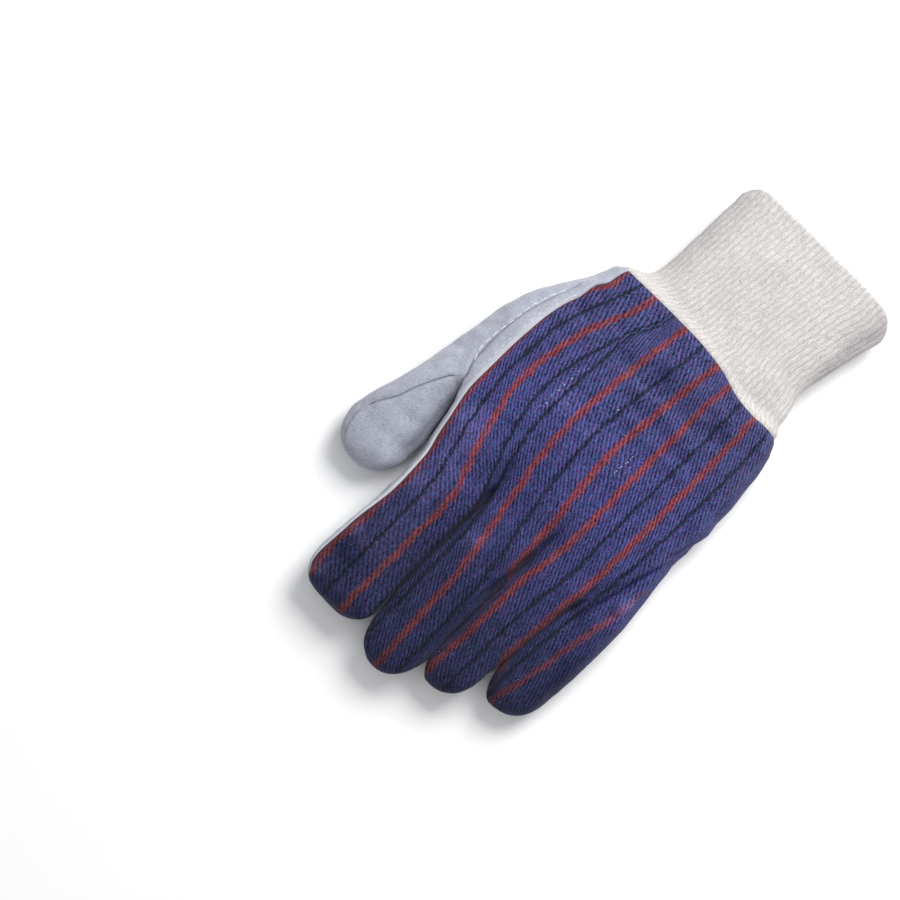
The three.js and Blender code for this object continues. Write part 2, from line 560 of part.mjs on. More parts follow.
// One panel as a closed solid.
function panelGeometry(panel, offsets) {
  const faces = skin.faces.filter((f) => f.panel === panel);
  const edges = new Map();
  for (const face of faces)
    face.corners.forEach((a, i) => {
      const b = face.corners[(i + 1) % face.corners.length];
      edges.set(a + "," + b, { a, b, normal: faceNormal(face) });
    });
  const rim = [...edges.values()].filter(({ a, b }) => !edges.has(b + "," + a));
  const inward = new Map(rim.map(({ a }) => [a, new THREE.Vector3()]));
  for (const { a, b, normal } of rim) {
    const across = normal.cross(skin.points[b].clone().sub(skin.points[a])).normalize();
    inward.get(a).add(across);
    inward.get(b).add(across);
  }
  const positions = [];
  const place = (v, inner) => {
    const p = skin.points[v].clone();
    if (inner) p.add(offsets[v]);
    if (inward.has(v)) {
      const pull = inward.get(v);
      const length = pull.length();
      p.addScaledVector(pull, (SEAM_INSET * Math.min(SEAM_MITRE_LIMIT, 2 / length)) / length);
    }
    positions.push(p.x - CENTRE.x, p.y - CENTRE.y, p.z);
  };
  const triangle = (a, b, c) => [a, b, c].forEach(([v, inner]) => place(v, inner));
  for (const { corners: [a, b, c, d] } of faces) {
    triangle([a, 0], [b, 0], [c, 0]);
    triangle([a, 0], [c, 0], [d, 0]);
    triangle([a, 1], [c, 1], [b, 1]);
    triangle([a, 1], [d, 1], [c, 1]);
  }
  // Both panels at a seam split its twisted edge strip along the same diagonal, so they can't cross.
  for (const { a, b } of rim) {
    triangle([a, 0], [a, 1], a < b ? [b, 1] : [b, 0]);
    triangle(a < b ? [a, 0] : [a, 1], [b, 1], [b, 0]);
  }
  return new THREE.BufferGeometry().setAttribute("position", new THREE.Float32BufferAttribute(positions, 3));
}

// Closed outline of the cuff's section, as sideways and upward shares from -1 to 1, evenly spaced, and the
// outward direction at each. It starts at the little finger's side and runs over the top.
function cuffOutline(around) {
  const { left, right, top, sole } = CUFF.rows[CUFF.rows.length - 1];
  const halfWidth = (right - left) / 2;
  const halfHeight = (top - sole) / 2;
  const power = 2 / CUFF.roundness;
  const corners = Array.from({ length: 96 }, (_, n) => {
    const angle = Math.PI - (2 * Math.PI * n) / 96;
    const c = Math.cos(angle);
    const s = Math.sin(angle);
    return new THREE.Vector3(
      halfWidth * Math.sign(c) * Math.abs(c) ** power,
      0,
      halfHeight * Math.sign(s) * Math.abs(s) ** power,
    );
  });
  const curve = new THREE.CatmullRomCurve3(corners, true);
  return curve.getSpacedPoints(around).slice(0, around).map((p, n) => {
    const tangent = curve.getTangentAt(n / around);
    return { sideways: p.x / halfWidth, upward: p.z / halfHeight, out: new THREE.Vector3(-tangent.z, 0, tangent.x) };
  });
}

// The same number of points round the hand's wrist seam, just inside its wall.
function wristOutline(around) {
  const sides = palmRing(0);
  const loop = Object.values(sides).flatMap(({ points }) => points.slice(0, -1));
  const first = loop.findIndex((p) => p.x === Math.min(...loop.map((q) => q.x)));
  const curve = new THREE.CatmullRomCurve3([...loop.slice(first), ...loop.slice(0, first)], true);
  return curve.getSpacedPoints(around).slice(0, around).map((p, n) => {
    const tangent = curve.getTangentAt(n / around);
    const inset = WALL + CUFF.clearance;
    return p.addScaledVector(new THREE.Vector3(-tangent.z, 0, tangent.x).normalize(), -inset);
  });
}

// The knitted cuff: rings of ribs along the outside, round the hem, and back along the smooth inside.
function cuffGeometry() {
  const around = 2 * CUFF.ribs;
  const outline = cuffOutline(around);
  const wrist = wristOutline(around);
  const { left, right, leftPower, rightPower } = CUFF.hemRise;
  const section = (below, share, depth, ribbed) =>
    outline.map(({ sideways, upward, out }, n) => {
      const rise = sideways < 0 ? left * Math.abs(sideways) ** leftPower : right * sideways ** rightPower;
      const seamY = wrist[n].y;
      const y = seamY - below + share * (CUFF.hemY + rise - seamY);
      const size = (key) => along(CUFF.rows, y, (row) => row[key]);
      const tube = new THREE.Vector3(
        (size("left") + size("right")) / 2 + (sideways * (size("right") - size("left"))) / 2,
        y,
        (size("top") + size("sole")) / 2 + (upward * (size("top") - size("sole"))) / 2,
      );
      const drop = THREE.MathUtils.smoothstep(seamY - y, CUFF.flare.from, CUFF.flare.to);
      const point = wrist[n].clone().setY(y).lerp(tube, drop);
      point.addScaledVector(out, -depth - (ribbed && n % 2 ? CUFF.ribHeight : 0));
      point.z = Math.max(depth, point.z);
      return point;
    });
  const rings = [
    ...CUFF.seamRings.map(({ below, inset }) => section(below, 0, inset, below > CUFF.plainBand)),
    ...CUFF.outsideRings.map((share) => section(0, share, 0, true)),
    section(0, 1, CUFF.wall * 0.35, true),
    section(0, 1, CUFF.wall * 0.8, false),
    ...CUFF.insideRings.map((share) => section(0, share, CUFF.wall, false)),
    ...[...CUFF.seamRings].reverse().map(({ below, inset }) => section(below, 0, CUFF.wall + inset, false)),
  ];
  const positions = [];
  const place = (p) => positions.push(p.x - CENTRE.x, p.y - CENTRE.y, p.z);
  rings.forEach((ringPoints, i) => {
    const next = rings[(i + 1) % rings.length];
    for (let n = 0; n < around; n++) {
      const m = (n + 1) % around;
      [ringPoints[n], next[n], next[m], ringPoints[n], next[m], ringPoints[m]].forEach(place);
    }
  });
  return new THREE.BufferGeometry().setAttribute("position", new THREE.Float32BufferAttribute(positions, 3));
}

buildSkin();
dentBack();
const offsets = wallOffsets();
const glove = new THREE.Group();
glove.name = "glove";
const add = (name, geometry, material) => {
  geometry.computeVertexNormals();
  const mesh = new THREE.Mesh(geometry, new THREE.MeshStandardMaterial(material));
  mesh.name = name;
  glove.add(mesh);
};
add("back_panel", panelGeometry("back_panel", offsets), COLOURS.cloth);
add("palm_panel", panelGeometry("palm_panel", offsets), COLOURS.leather);
add("thumb_outer", panelGeometry("thumb_outer", offsets), COLOURS.leather);
add("thumb_inner", panelGeometry("thumb_inner", offsets), COLOURS.leather);
add("knit_cuff", cuffGeometry(), COLOURS.knit);

export default glove;
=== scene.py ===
import math
from itertools import product

import bpy
import numpy as np
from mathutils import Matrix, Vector
from mathutils.bvhtree import BVHTree
from mathutils.kdtree import KDTree


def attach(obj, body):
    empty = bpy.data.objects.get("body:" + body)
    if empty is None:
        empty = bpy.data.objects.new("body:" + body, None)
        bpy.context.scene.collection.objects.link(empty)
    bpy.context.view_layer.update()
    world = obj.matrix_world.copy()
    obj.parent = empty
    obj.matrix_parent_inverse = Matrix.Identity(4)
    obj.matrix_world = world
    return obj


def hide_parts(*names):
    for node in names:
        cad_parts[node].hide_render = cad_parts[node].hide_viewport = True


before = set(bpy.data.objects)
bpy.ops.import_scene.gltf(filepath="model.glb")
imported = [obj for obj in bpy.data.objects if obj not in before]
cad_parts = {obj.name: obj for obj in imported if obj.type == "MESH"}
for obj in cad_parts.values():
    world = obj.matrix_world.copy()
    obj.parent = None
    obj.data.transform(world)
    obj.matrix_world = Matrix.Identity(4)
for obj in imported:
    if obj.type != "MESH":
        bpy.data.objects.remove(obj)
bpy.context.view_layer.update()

MM = 0.001
CENTRE = np.array([15.45, 62.55, 0.0])
WALL = 1.4
LOWEST_INSIDE = 0.3  # height of a wall's inner side above the floor, at least
TINY = 1e-9  # stands in for a length of nothing
SEAM_GAP = 0.24  # between two panels
FINGER_GAP = 0.2  # clear space between neighbouring fingers
# Stripes, folds and threads are drawn as seen from 2.8 degrees beyond the fingertips: how far a point shows
# to the side of its place for each millimetre above a height, and where lines of sight start (mm).
VIEW = {"slant": 0.049, "height": 19.0, "from": 80}
STEP = 1.0  # between rings along the fingers
MERGE_STEPS = 500  # to the millimetre; points that round to the same step are one point

# Steps per span between two named lines.
ACROSS = 14  # half a finger's back or front
FLANK = 12  # from a finger's widest line up or down to its corner
STRIP = 4  # the leather strip beside the cloth
THUMB_ACROSS = 9
THUMB_INNER = (5, 8)  # the thumb's inner side, from its root up to its widest line and on to its top
JOINT = 11  # from the palm to a finger's first row
PALM_RINGS = {"beside_thumb": 81, "beyond_thumb": 26}


# Pattern tables

# Lines that run along the palm from wrist to knuckles, as (x, z) at each y, going round the hand.
# "start" and "end" give the y where each line begins at the wrist and ends at the knuckles.
PALM_LINES = {
    "names": (
        "pinkyEdge", "pinkyCorner", "pinkyCrown", "pinkyRing", "ringCrown", "ringMiddle", "middleCrown",
        "middleIndex", "indexCrown", "clothEdge", "stitchLine",
    ),
    "start": (3.6, 3.7, 3.9, 4.4, 3.4, 0.0, -1.7, -2.1, -2.2, -2.3, -2.6),
    "end": (98, 99, 101, 100, 103, 100, 106, 105, 106, 103, 103),
    "rows": {
        0: ((-48, 12), (-45.4, 19), (-40, 22.6), (-33.5, 24.2), (-23, 25.6), (-11, 25.9), (3, 26.4),
            (17, 26.4), (32, 25.4), (47.6, 21.2), (50.4, 18.4)),
        20: ((-53.2, 10.5), (-50, 19), (-44, 23.8), (-35.5, 26.8), (-25, 28.2), (-11.5, 28.9), (3.5, 29.8),
             (19, 29.8), (38, 28.6), (54.4, 23.6), (59.2, 19.6)),
        45: ((-55.4, 9.5), (-52.4, 18.6), (-46, 23.8), (-36.5, 27), (-25.5, 29), (-12, 30), (5, 31.4),
             (22, 31.8), (42, 31.2), (59, 27), (66.4, 22.8)),
        70: ((-54.8, 9), (-51.6, 17.8), (-46, 22.8), (-37, 25.8), (-25, 28.4), (-11.5, 29.2), (8, 31.6),
             (26, 31.2), (44.5, 32), (59.8, 28.2), (67, 24.2)),
        78: ((-55.2, 9), (-52, 17.4), (-46.4, 22.2), (-37.4, 24.8), (-25, 27.8), (-11.2, 28.4), (8, 31.2),
             (25.8, 30.2), (43.8, 31.8), (59.6, 28.2), (64.6, 25)),
        90: ((-56.4, 9), (-53.4, 17), (-47, 21.6), (-37.9, 24), (-25, 26.6), (-11, 27), (7.4, 29.6),
             (24.3, 28), (41.8, 30.4), (58.1, 27), (59.7, 24.6)),
        105: ((-58.2, 9), (-54.8, 16.8), (-47.6, 21.6), (-37.7, 21.2), (-24, 24.2), (-10.8, 23.6), (5.4, 26),
              (21.3, 24), (39, 27.2), (55.3, 23.4), (56.9, 20.8)),
    },
}
SOLE_LINES = {
    "names": (
        "thumbRoot", "indexPad", "middleIndexB", "middlePad", "ringMiddleB", "ringPad", "pinkyRingB",
        "pinkyPad", "pinkyCornerB",
    ),
    "start": (0.5, 1.4, 1.5, 1.5, 1.6, 2.0, 2.6, 3.0, 3.4),
    "end": (103, 106, 105, 106, 100, 103, 100, 101, 98),
    "rows": {
        0: ((16, 1.6), (7, 0.8), (-3, 0.4), (-11, 0.2), (-19, 0.1), (-27, 0), (-34, 0), (-39, 0.4),
            (-44, 3.6)),
        20: ((20.5, 3), (11, 1.2), (1, 0.3), (-9, 0), (-18.5, 0), (-27.5, 0), (-36, 0), (-42.5, 0),
             (-49.4, 3)),
        45: ((29, 5), (17, 2.4), (6, 0.8), (-6, 0), (-17, 0), (-27, 0), (-37, 0), (-44.5, 0), (-51.6, 3)),
        70: ((41.5, 6.4), (27, 4.4), (13, 1.6), (-1, 0.2), (-14, 0), (-26, 0), (-37.4, 0), (-45, 0),
             (-50.8, 3)),
        78: ((47, 6.6), (31, 5), (16, 2), (1.5, 0.4), (-13, 0), (-25.6, 0), (-37.6, 0), (-45.4, 0),
             (-51.2, 3.2)),
        90: ((52, 7.4), (36, 5), (19.6, 2.6), (3.6, 0.5), (-11.8, 0.8), (-25, 0), (-37.8, 0.8), (-46, 0),
             (-52.6, 3.6)),
        105: ((50.6, 6.4), (38, 3.6), (21.3, 5.4), (5.4, 0.4), (-10.8, 4.8), (-24, 0), (-37.7, 4.8),
              (-47.2, 0), (-54.2, 4)),
    },
}
# The thumb's own lines: round its outer side from the wrist, then right round it beyond its root.
THUMB_LINES = {
    "names": ("corner", "edge", "cornerB", "pad"),
    "rows": {
        -3: ((50.6, 17), (51, 12), (48.4, 5), (33, 1)),
        10: ((55.8, 16), (57.4, 11.6), (54, 3.8), (37, 0)),
        20: ((62, 16.4), (63.5, 11.6), (59.6, 3.2), (42, 0)),
        32: ((68.5, 17), (70.4, 11.6), (66.6, 3), (48, 0)),
        45: ((71.8, 18), (74.5, 11.6), (70.6, 2.8), (54, 0)),
        60: ((74, 18.4), (77.2, 11.4), (73.4, 2.8), (59, 0)),
        78: ((76.4, 18.2), (80, 11), (76, 2.8), (63, 0)),
        90: ((79.4, 18), (82.6, 10.6), (78.8, 2.8), (67, 0)),
        100: ((82.2, 17.4), (85.2, 10.4), (81.4, 2.8), (69.6, 0)),
        110: ((85.4, 16), (88.1, 10.2), (84.4, 2.8), (71.4, 0)),
        120: ((88, 14), (90, 9.8), (86, 2.8), (73, 0)),
    },
}
THUMB_INNER_LINES = {
    "names": ("root", "innerEdge", "innerTop", "seam"),
    "rows": {
        84: ((55.5, 4.6), (58.6, 10.6), (62.9, 19.4), (69.6, 22.8)),
        91: ((58, 3.2), (59.6, 9.4), (61.9, 18), (73.4, 21.8)),
        98: ((59, 2.6), (58.8, 8.8), (61, 17.2), (76.6, 21)),
        105: ((59.6, 2.4), (58.2, 8.6), (60.4, 16.8), (79, 20)),
        112: ((60.2, 2.4), (57.2, 8.6), (60.4, 16.8), (83.4, 18.2)),
        120: ((61.4, 2.6), (57.8, 8.8), (62.2, 16.6), (87, 15.4)),
    },
}
THUMB_ROOT_Y = 78
THUMB_SHARE = 0.763  # share of the way from wrist to knuckles where the thumb leaves the palm
INDEX_SHARE = 0.84  # where the index finger's side has its own round shape
INDEX_BULGE = ((0.763, 0), (0.84, 0.9), (0.92, 1.9), (1, 2.8))
THUMB_TIP = {"tip": (74.1, 137.2, 8.6), "roundness": 2.1}

# Fingers from knuckle to shoulder, one row per y: left and right sides of the outline, top, sole.
FINGERS = {
    "pinky": {
        "rows": {112: (-58.8, -36.8, 21.4, 0), 125: (-59.1, -35.2, 20.8, 0), 139: (-58.9, -33.7, 20, 0),
                 149: (-57.9, -32.8, 18.8, 0)},
        "tip": (-41.2, 169.1, 8.6),
        "roundness": 2.25,
    },
    "ring": {
        "rows": {114: (-36.7, -10.0, 23.8, 0), 130: (-34.7, -9.2, 22.6, 0), 148: (-32.9, -8.9, 21.4, 0),
                 162: (-31, -8.7, 20, 0)},
        "tip": (-16.5, 181.3, 9),
        "roundness": 2.4,
    },
    "middle": {
        "rows": {117: (-9.9, 21.3, 25, 0.3), 136: (-9.0, 22.1, 23.6, 0), 155: (-8.7, 22.4, 22.2, 0),
                 170: (-8.4, 19.6, 20.8, 0)},
        "tip": (5.8, 192.8, 9.4),
        "roundness": 2.3,
    },
    "index": {
        "rows": {116: (21.4, 55.1, 26, 2.8), 134: (22, 54.7, 24.4, 1.8), 154: (22.6, 56.3, 22.8, 0.8),
                 170: (20.6, 57.3, 21.2, 0)},
        "tip": (38.8, 187.7, 9.4),
        "roundness": 2.95,
    },
}
# Rounding of a finger's section: how far its corner lies inside its side and below its top.
CORNER = {"inset": 2.5, "drop": 3.7}
PRESSED = {"inset": 0.5, "drop": 1.5}  # where a finger is pressed against its neighbour
SOLE_CORNER = {"inset": 2.7, "rise": 3.8}
SIDE_DROP = 0.5  # of a finger's widest line, below half its height
# The back's seam on the index finger's outer side, and the leather just below it, lie further out beyond
# the middle of the finger.
CLOTH_EDGE = {"inset": 2.5, "tip_inset": 1.2, "drop": 3.3}
WELT = {"inset": 0.9, "tip_inset": 0.4, "drop": 6.0}
FURTHER_OUT = (134, 156)
TIP_ANGLES = np.radians(np.linspace(0, 80, 19)[1:])
# Between these tip angles that seam turns down towards the palm, by a share of the side's height.
SEAM_TURN = {"angles": (math.radians(46), math.radians(80)), "share": 0.85}

# Which of the palm's lines meet each finger. A finger beside another has a straight fold on that side.
KNUCKLES = {
    "pinky": {
        "top": ("pinkyCorner", "pinkyCrown", "pinkyRing"),
        "sole": ("pinkyRingB", "pinkyPad", "pinkyCornerB"),
        "left": ("pinkyCornerB", "pinkyEdge", "pinkyCorner"),
    },
    "ring": {
        "top": ("pinkyRing", "ringCrown", "ringMiddle"),
        "sole": ("ringMiddleB", "ringPad", "pinkyRingB"),
    },
    "middle": {
        "top": ("ringMiddle", "middleCrown", "middleIndex"),
        "sole": ("middleIndexB", "middlePad", "ringMiddleB"),
    },
    "index": {
        "top": ("middleIndex", "indexCrown", "clothEdge"),
        "sole": ("thumbRoot", "indexPad", "middleIndexB"),
        "right": ("clothEdge", "stitchLine", "indexEdge", "thumbRoot"),
    },
}

# Creases and ridges: how far the skin rises (mm), half-width (mm), and the path as (x, y) points.
BACK_FOLDS = (
    # Valleys between the fingers.
    (-3.0, 2.2, ((28, 82), (25, 93), (22.5, 105), (21.4, 116), (21.6, 128), (22.6, 140))),
    (-1.4, 1.6, ((22.4, 132), (22.8, 146), (22.6, 160), (21.4, 168))),
    (-0.9, 5.0, ((31, 56), (29, 70), (26, 88))),
    (-2.6, 3.0, ((-10, 86), (-10.6, 95), (-10, 105), (-9.6, 118), (-9.4, 132))),
    (-1.2, 2.4, ((-9.3, 124), (-9, 145), (-8.8, 165))),
    (-0.7, 3.0, ((-12, 62), (-10, 82))),
    (-2.0, 2.4, ((-39, 98), (-38.5, 106), (-37, 116), (-35.5, 127), (-34, 138))),
    (-1.0, 1.8, ((-35, 128), (-33.5, 142), (-32.6, 154))),
    # The little finger's side, folded over in two pleats.
    (-2.2, 1.7, ((-56, 70), (-51.4, 76), (-48.8, 86), (-46.4, 96), (-43.4, 107), (-40.8, 119), (-39.5, 130))),
    (1.1, 2.2, ((-53, 84), (-50.6, 94), (-48, 106), (-45.5, 118))),
    (0.8, 2.4, ((-45, 78), (-43, 90), (-40.8, 104))),
    (-0.9, 1.5, ((-51.4, 14), (-51.6, 30), (-51, 47))),
    (-0.9, 1.3, ((-56, 56), (-53.4, 63), (-52, 69), (-49, 75))),
    (0.5, 1.6, ((-48.4, 30), (-48.4, 44), (-48.6, 60))),
    # Gathers that run from the wrist seam.
    (-0.8, 2.4, ((46, 1), (45, 9), (43.5, 18))),
    (0.6, 2.2, ((41, 1), (40.8, 9), (40, 18))),
    (-0.9, 2.2, ((36, 0), (36.4, 9), (35, 20))),
    (0.6, 2.4, ((31.5, 0), (32, 10), (31, 22))),
    (-1.1, 2.0, ((26.5, -1), (27.6, 9), (28.6, 19), (29, 28))),
    (0.5, 2.6, ((20, -1), (22, 9), (24.5, 20))),
    (-0.6, 2.6, ((12, -1), (14, 8), (16, 18))),
    (-0.6, 3.0, ((-20, 3), (-19, 12), (-17, 22))),
    (0.5, 2.6, ((-30, 4), (-31, 14), (-31, 24))),
    (-0.7, 2.4, ((-39, 4), (-41, 14), (-42, 26))),
    # Folds across the back of the hand.
    (1.0, 4.2, ((-40, 10), (-28, 12), (-14, 13.5), (2, 12), (14, 14), (28, 17))),
    (-1.3, 3.4, ((-42, 22), (-30, 24), (-18, 26), (-6, 26.5), (6, 27), (18, 28), (32, 26))),
    (0.6, 2.8, ((-34, 31.5), (-20, 32.5), (-4, 31), (8, 31.5), (22, 31))),
    (-0.8, 2.8, ((-38, 38.5), (-22, 40), (-8, 38.5), (8, 37.5), (22, 37))),
    (0.5, 2.6, ((-34, 44), (-18, 44.5), (-2, 43), (10, 43))),
    (-0.5, 3.0, ((-38, 49), (-18, 50.5), (2, 49))),
    (0.7, 3.0, ((52, 7), (46, 9), (40, 9))),
    (-1.0, 3.2, ((54, 22), (47, 25), (40, 26))),
    (-0.7, 2.6, ((52.5, 10), (49.5, 13), (44, 15))),
    # Bends of the fingers.
    (-0.6, 3.0, ((40, 122), (45, 120), (50, 116))),
    (0.5, 3.0, ((40, 114), (46, 111), (51, 108))),
    (-0.8, 3.4, ((40, 170), (47, 171), (54, 173))),
    (0.6, 3.0, ((42, 160), (48, 160), (54, 161))),
    (-0.6, 2.6, ((-55, 106), (-50, 107), (-46, 108))),
    (0.7, 2.6, ((-56, 100), (-52, 101), (-48, 102))),
    (-0.5, 3.0, ((0, 150), (8, 149), (16, 151))),
    (-0.5, 3.0, ((-29, 146), (-21, 144), (-13, 146))),
    (-0.5, 3.0, ((-56, 138), (-48, 136), (-40, 138))),
)
# Broad hollows and swellings: rise (mm), centre (x, y), and half-widths across and along.
BACK_DENTS = (
    (-1.5, (-10.5, 101), (2.6, 4.5)),
    (-1.6, (-9.5, 117.5), (2.2, 4.5)),
    (-1.5, (-37, 116.5), (2.0, 3.8)),
    (-1.0, (22.3, 109), (2.0, 6)),
    (-0.8, (5, 22), (8, 4)),
    (-0.7, (-26, 21), (8, 4)),
    (0.9, (12, 62), (18, 16)),
    (0.7, (-30, 66), (12, 16)),
    (0.8, (42, 80), (10, 14)),
    (0.8, (11, 126), (6, 8)),
    (-0.9, (38, 136), (10, 8)),
    (-0.8, (-48, 139), (8, 8)),
    (-0.6, (-11, 21), (4.5, 4.5)),
    (-0.6, (26, 23), (5, 5)),
    (-0.6, (47, 20), (5.5, 6)),
)
# Painted shade and painted highlights, with some dirt and fading: darkness (below 0 where it is paler),
# centre (x, y), and half-widths across and along.
PAINTED_LIGHT_AND_DIRT_SPOTS = (
    # Painted shade of the gathers and folds near the wrist.
    (0.35, (-27, 18), (6, 3.5)),
    (0.30, (-11, 20), (4.5, 3)),
    (0.50, (5, 19), (7, 4.5)),
    (0.40, (25, 23), (8, 2)),
    (0.30, (46, 17), (5, 6)),
    (0.25, (-22, 36), (11, 2.2)),
    (0.15, (2, 34), (9, 3)),
    (0.15, (-16, 45), (18, 2.5)),
    # Painted shade in the clefts between the fingers.
    (1.10, (22.8, 108), (1.3, 5)),
    (1.20, (-9.5, 104.5), (1.6, 5)),
    (0.80, (-8.8, 116), (1.4, 5)),
    (0.70, (-37, 114.5), (1.1, 3.4)),
    # Painted shade on the fingers' sides and towards their tips, with dirt.
    (0.25, (-5, 136), (4.5, 12)),
    (0.30, (-5, 160), (4, 12)),
    (0.45, (-42, 116), (4, 5)),
    (0.40, (-33, 155), (2, 6)),
    (0.50, (-54, 142), (4.5, 22)),
    (0.50, (47.5, 168), (6.5, 5)),
    (0.30, (26.5, 181), (3.5, 3)),
    (0.20, (28, 132), (3, 9)),
    # Mostly below 0: painted highlights, with fading.
    (-0.28, (44, 95), (9, 12)),
    (-0.30, (51, 89), (7, 9)),
    (-0.25, (29, 57), (9, 9)),
    (0.15, (-34, 22), (7, 8)),
    (-0.26, (42, 118), (9, 16)),
    (-0.20, (40, 152), (13, 24)),
    (-0.10, (-22, 140), (7, 20)),
    (-0.60, (-53, 99), (2.4, 4.5)),
    (-0.30, (-51, 112), (2.4, 3)),
    (-0.30, (11, 125), (5, 7)),
    (-0.30, (51, 180), (3.5, 4)),
    (-0.20, (51, 155), (3, 4)),
    (-0.15, (-2, 58), (22, 5)),
    (-0.18, (12, 29), (12, 2.5)),
    (-0.15, (49, 120), (3, 9)),
    # Painted shade on the thumb's lower side beside the index finger, and on its tip.
    (0.45, (60, 108), (4, 15)),
    (0.12, (74, 129), (14, 9)),
)
# Painted shade along the bottom of creases: darkness, half-width, and the path as (x, y) points.
CREASE_SHADE = (
    (0.6, 0.8, ((27.4, 82), (24, 92), (22.4, 99), (21.6, 107), (21.6, 118), (22.4, 129), (22.4, 148),
                (22.8, 168))),
    (0.2, 1.8, ((22.8, 95), (21.6, 107), (21.6, 118), (22.4, 129), (22.4, 145))),
    (0.9, 1.3, ((-9.6, 108), (-9.1, 114), (-8.4, 121), (-7.4, 129), (-6.6, 138))),
    (0.4, 0.9, ((-8.8, 124), (-8.6, 145), (-8.6, 170))),
    (1.0, 0.9, ((-39.4, 107), (-38.1, 111), (-36.8, 115), (-35.4, 119.6), (-34.6, 125))),
    (0.4, 0.9, ((-34.6, 125), (-33.4, 140), (-32.4, 158))),
    (0.9, 0.9, ((-56, 70), (-51.4, 76), (-48.8, 86), (-46.4, 96), (-43.4, 107), (-40.8, 119))),
    (0.5, 0.9, ((-49, 76), (-45, 83), (-42, 92), (-40, 102))),
    (0.6, 0.8, ((-56, 56), (-53.4, 63), (-52, 69), (-49, 75))),
)
SOLE_FOLDS = (
    (-0.9, 1.3, ((20, 66), (14, 52), (8, 38), (1, 20), (-3, 8))),
    (0.8, 2.2, ((25, 66), (19, 52), (12, 38), (5, 20), (1, 8))),
    (-0.8, 1.8, ((46, 96), (30, 92), (10, 94), (-12, 92), (-36, 94), (-50, 92))),
    (-0.7, 2.4, ((34, 74), (18, 66), (0, 64), (-20, 66))),
    (-0.6, 1.6, ((60, 64), (52, 52), (46, 36))),
    (-0.7, 1.8, ((-46, 20), (-30, 26), (-16, 24))),
)
THUMB_FOLDS = (
    (-0.8, 2.2, ((70, 46), (75, 50), (80, 52))),
    (-0.7, 2.6, ((70, 68), (76, 72), (82, 72))),
    (0.6, 2.6, ((68, 60), (75, 62), (80, 62))),
    (-1.0, 1.3, ((84.2, 113), (85.6, 117), (87.5, 121))),
    (-1.8, 5.0, ((65, 86), (61.5, 97), (59.5, 108), (60, 118), (65, 128))),
    (-0.4, 2.4, ((60, 104), (66, 108), (73, 108))),
)

# Smooth unevenness: height (mm), size of its lumps (mm), and the place in the noise where it starts.
CLOTH_LUMPS = ((0.5, 13.0, 2.7), (0.2, 5.0, 7.7))
LEATHER_LUMPS = ((0.34, 8.0, 5.3), (0.14, 3.2, 9.1))
# Sewn edges dip, with a low welt beside them: rise (mm), distance from the edge, half-width.
SEAM_SECTION = ((0.22, 2.6, 1.6), (-0.55, 0, 0.9))
WRIST_SECTION = ((0.45, 3.4, 2.0), (-1.1, 0, 1.3))
CALM_AT_SEAM = (0.6, 0, 2.0)  # share of the folds and lumps that is lost there
# The pleated outer edge of the little finger's side: y, and how far the cloth stands out there (mm).
EDGE_PLEATS = (
    (0, -0.2), (7, -1.0), (11, -0.1), (20, -0.2), (30, -0.1), (38, 0.4), (44, 0.05), (47.5, -0.3),
    (54, 0.55), (57.5, 0.1), (61, -0.7), (65.5, 0.4), (70, 0.25), (73.5, 0.0), (78, 0.5), (86, 0.35),
    (96, 0.6), (104, 0.45), (112, 0.3), (124, 0.2), (132, -0.15), (142, -0.3), (148, -0.4), (155, -0.3),
    (165, 0),
)
LITTLE_EDGE_X = -42  # the edge lies beyond this
# The same for the back's seam beside the leather strip and the index finger.
SEAM_WAVES = (
    (-2, 0.3), (-0.5, 0.6), (1, 0.35), (4, 0.2), (7, -0.5), (8.5, -0.1), (10, 0.3), (11.5, 0.8), (13, 0.6),
    (14.5, 0.5), (16, 0.15), (19, -0.4), (20.5, -0.5), (22, -0.3), (25, 0.15), (28, 0.35), (38, 0.3),
    (45, -0.2), (72, -0.3), (80, 0.25), (85, 0.2), (95, -0.3), (105, -0.15), (115, 0.2), (130, 0),
    (140, 0.15), (150, -0.1), (160, -0.4), (170, -0.3), (180, 0.2), (186, 0),
)
WAVE_REACH = 3.5  # the cloth moves with its seam this far from it
# The pale cut edge of the leather beside the cloth, widest along the index finger: y, width, and its blur.
CUT_EDGE = ((20, 0.0), (40, 0.3), (75, 0.4), (90, 0.9), (100, 1.3), (138, 1.3), (152, 0.9), (183, 0.6))
CUT_EDGE_BLUR = 0.35
# The cloth's seam with the leather strip and the index finger's side lies beyond x, or beyond upper_x and
# above this height.
INDEX_SIDE = {"x": 45, "upper_x": 40, "height": 12}
# The thumb's seam can't be made out below wrist_y on its upper side, nor round the thumb's tip.
HIDDEN_SEAM = {"wrist_y": 17, "height": 10, "tip_y": 116, "gap": 0.02}
# The folded cloth between the fingers: where it is, how steep, and from what height the back's folds
# reach it.
CLEFTS = {"x": (-41, 25), "y": (95, 166), "steep": 0.4, "height": (6, 19), "lumps": 0.1}

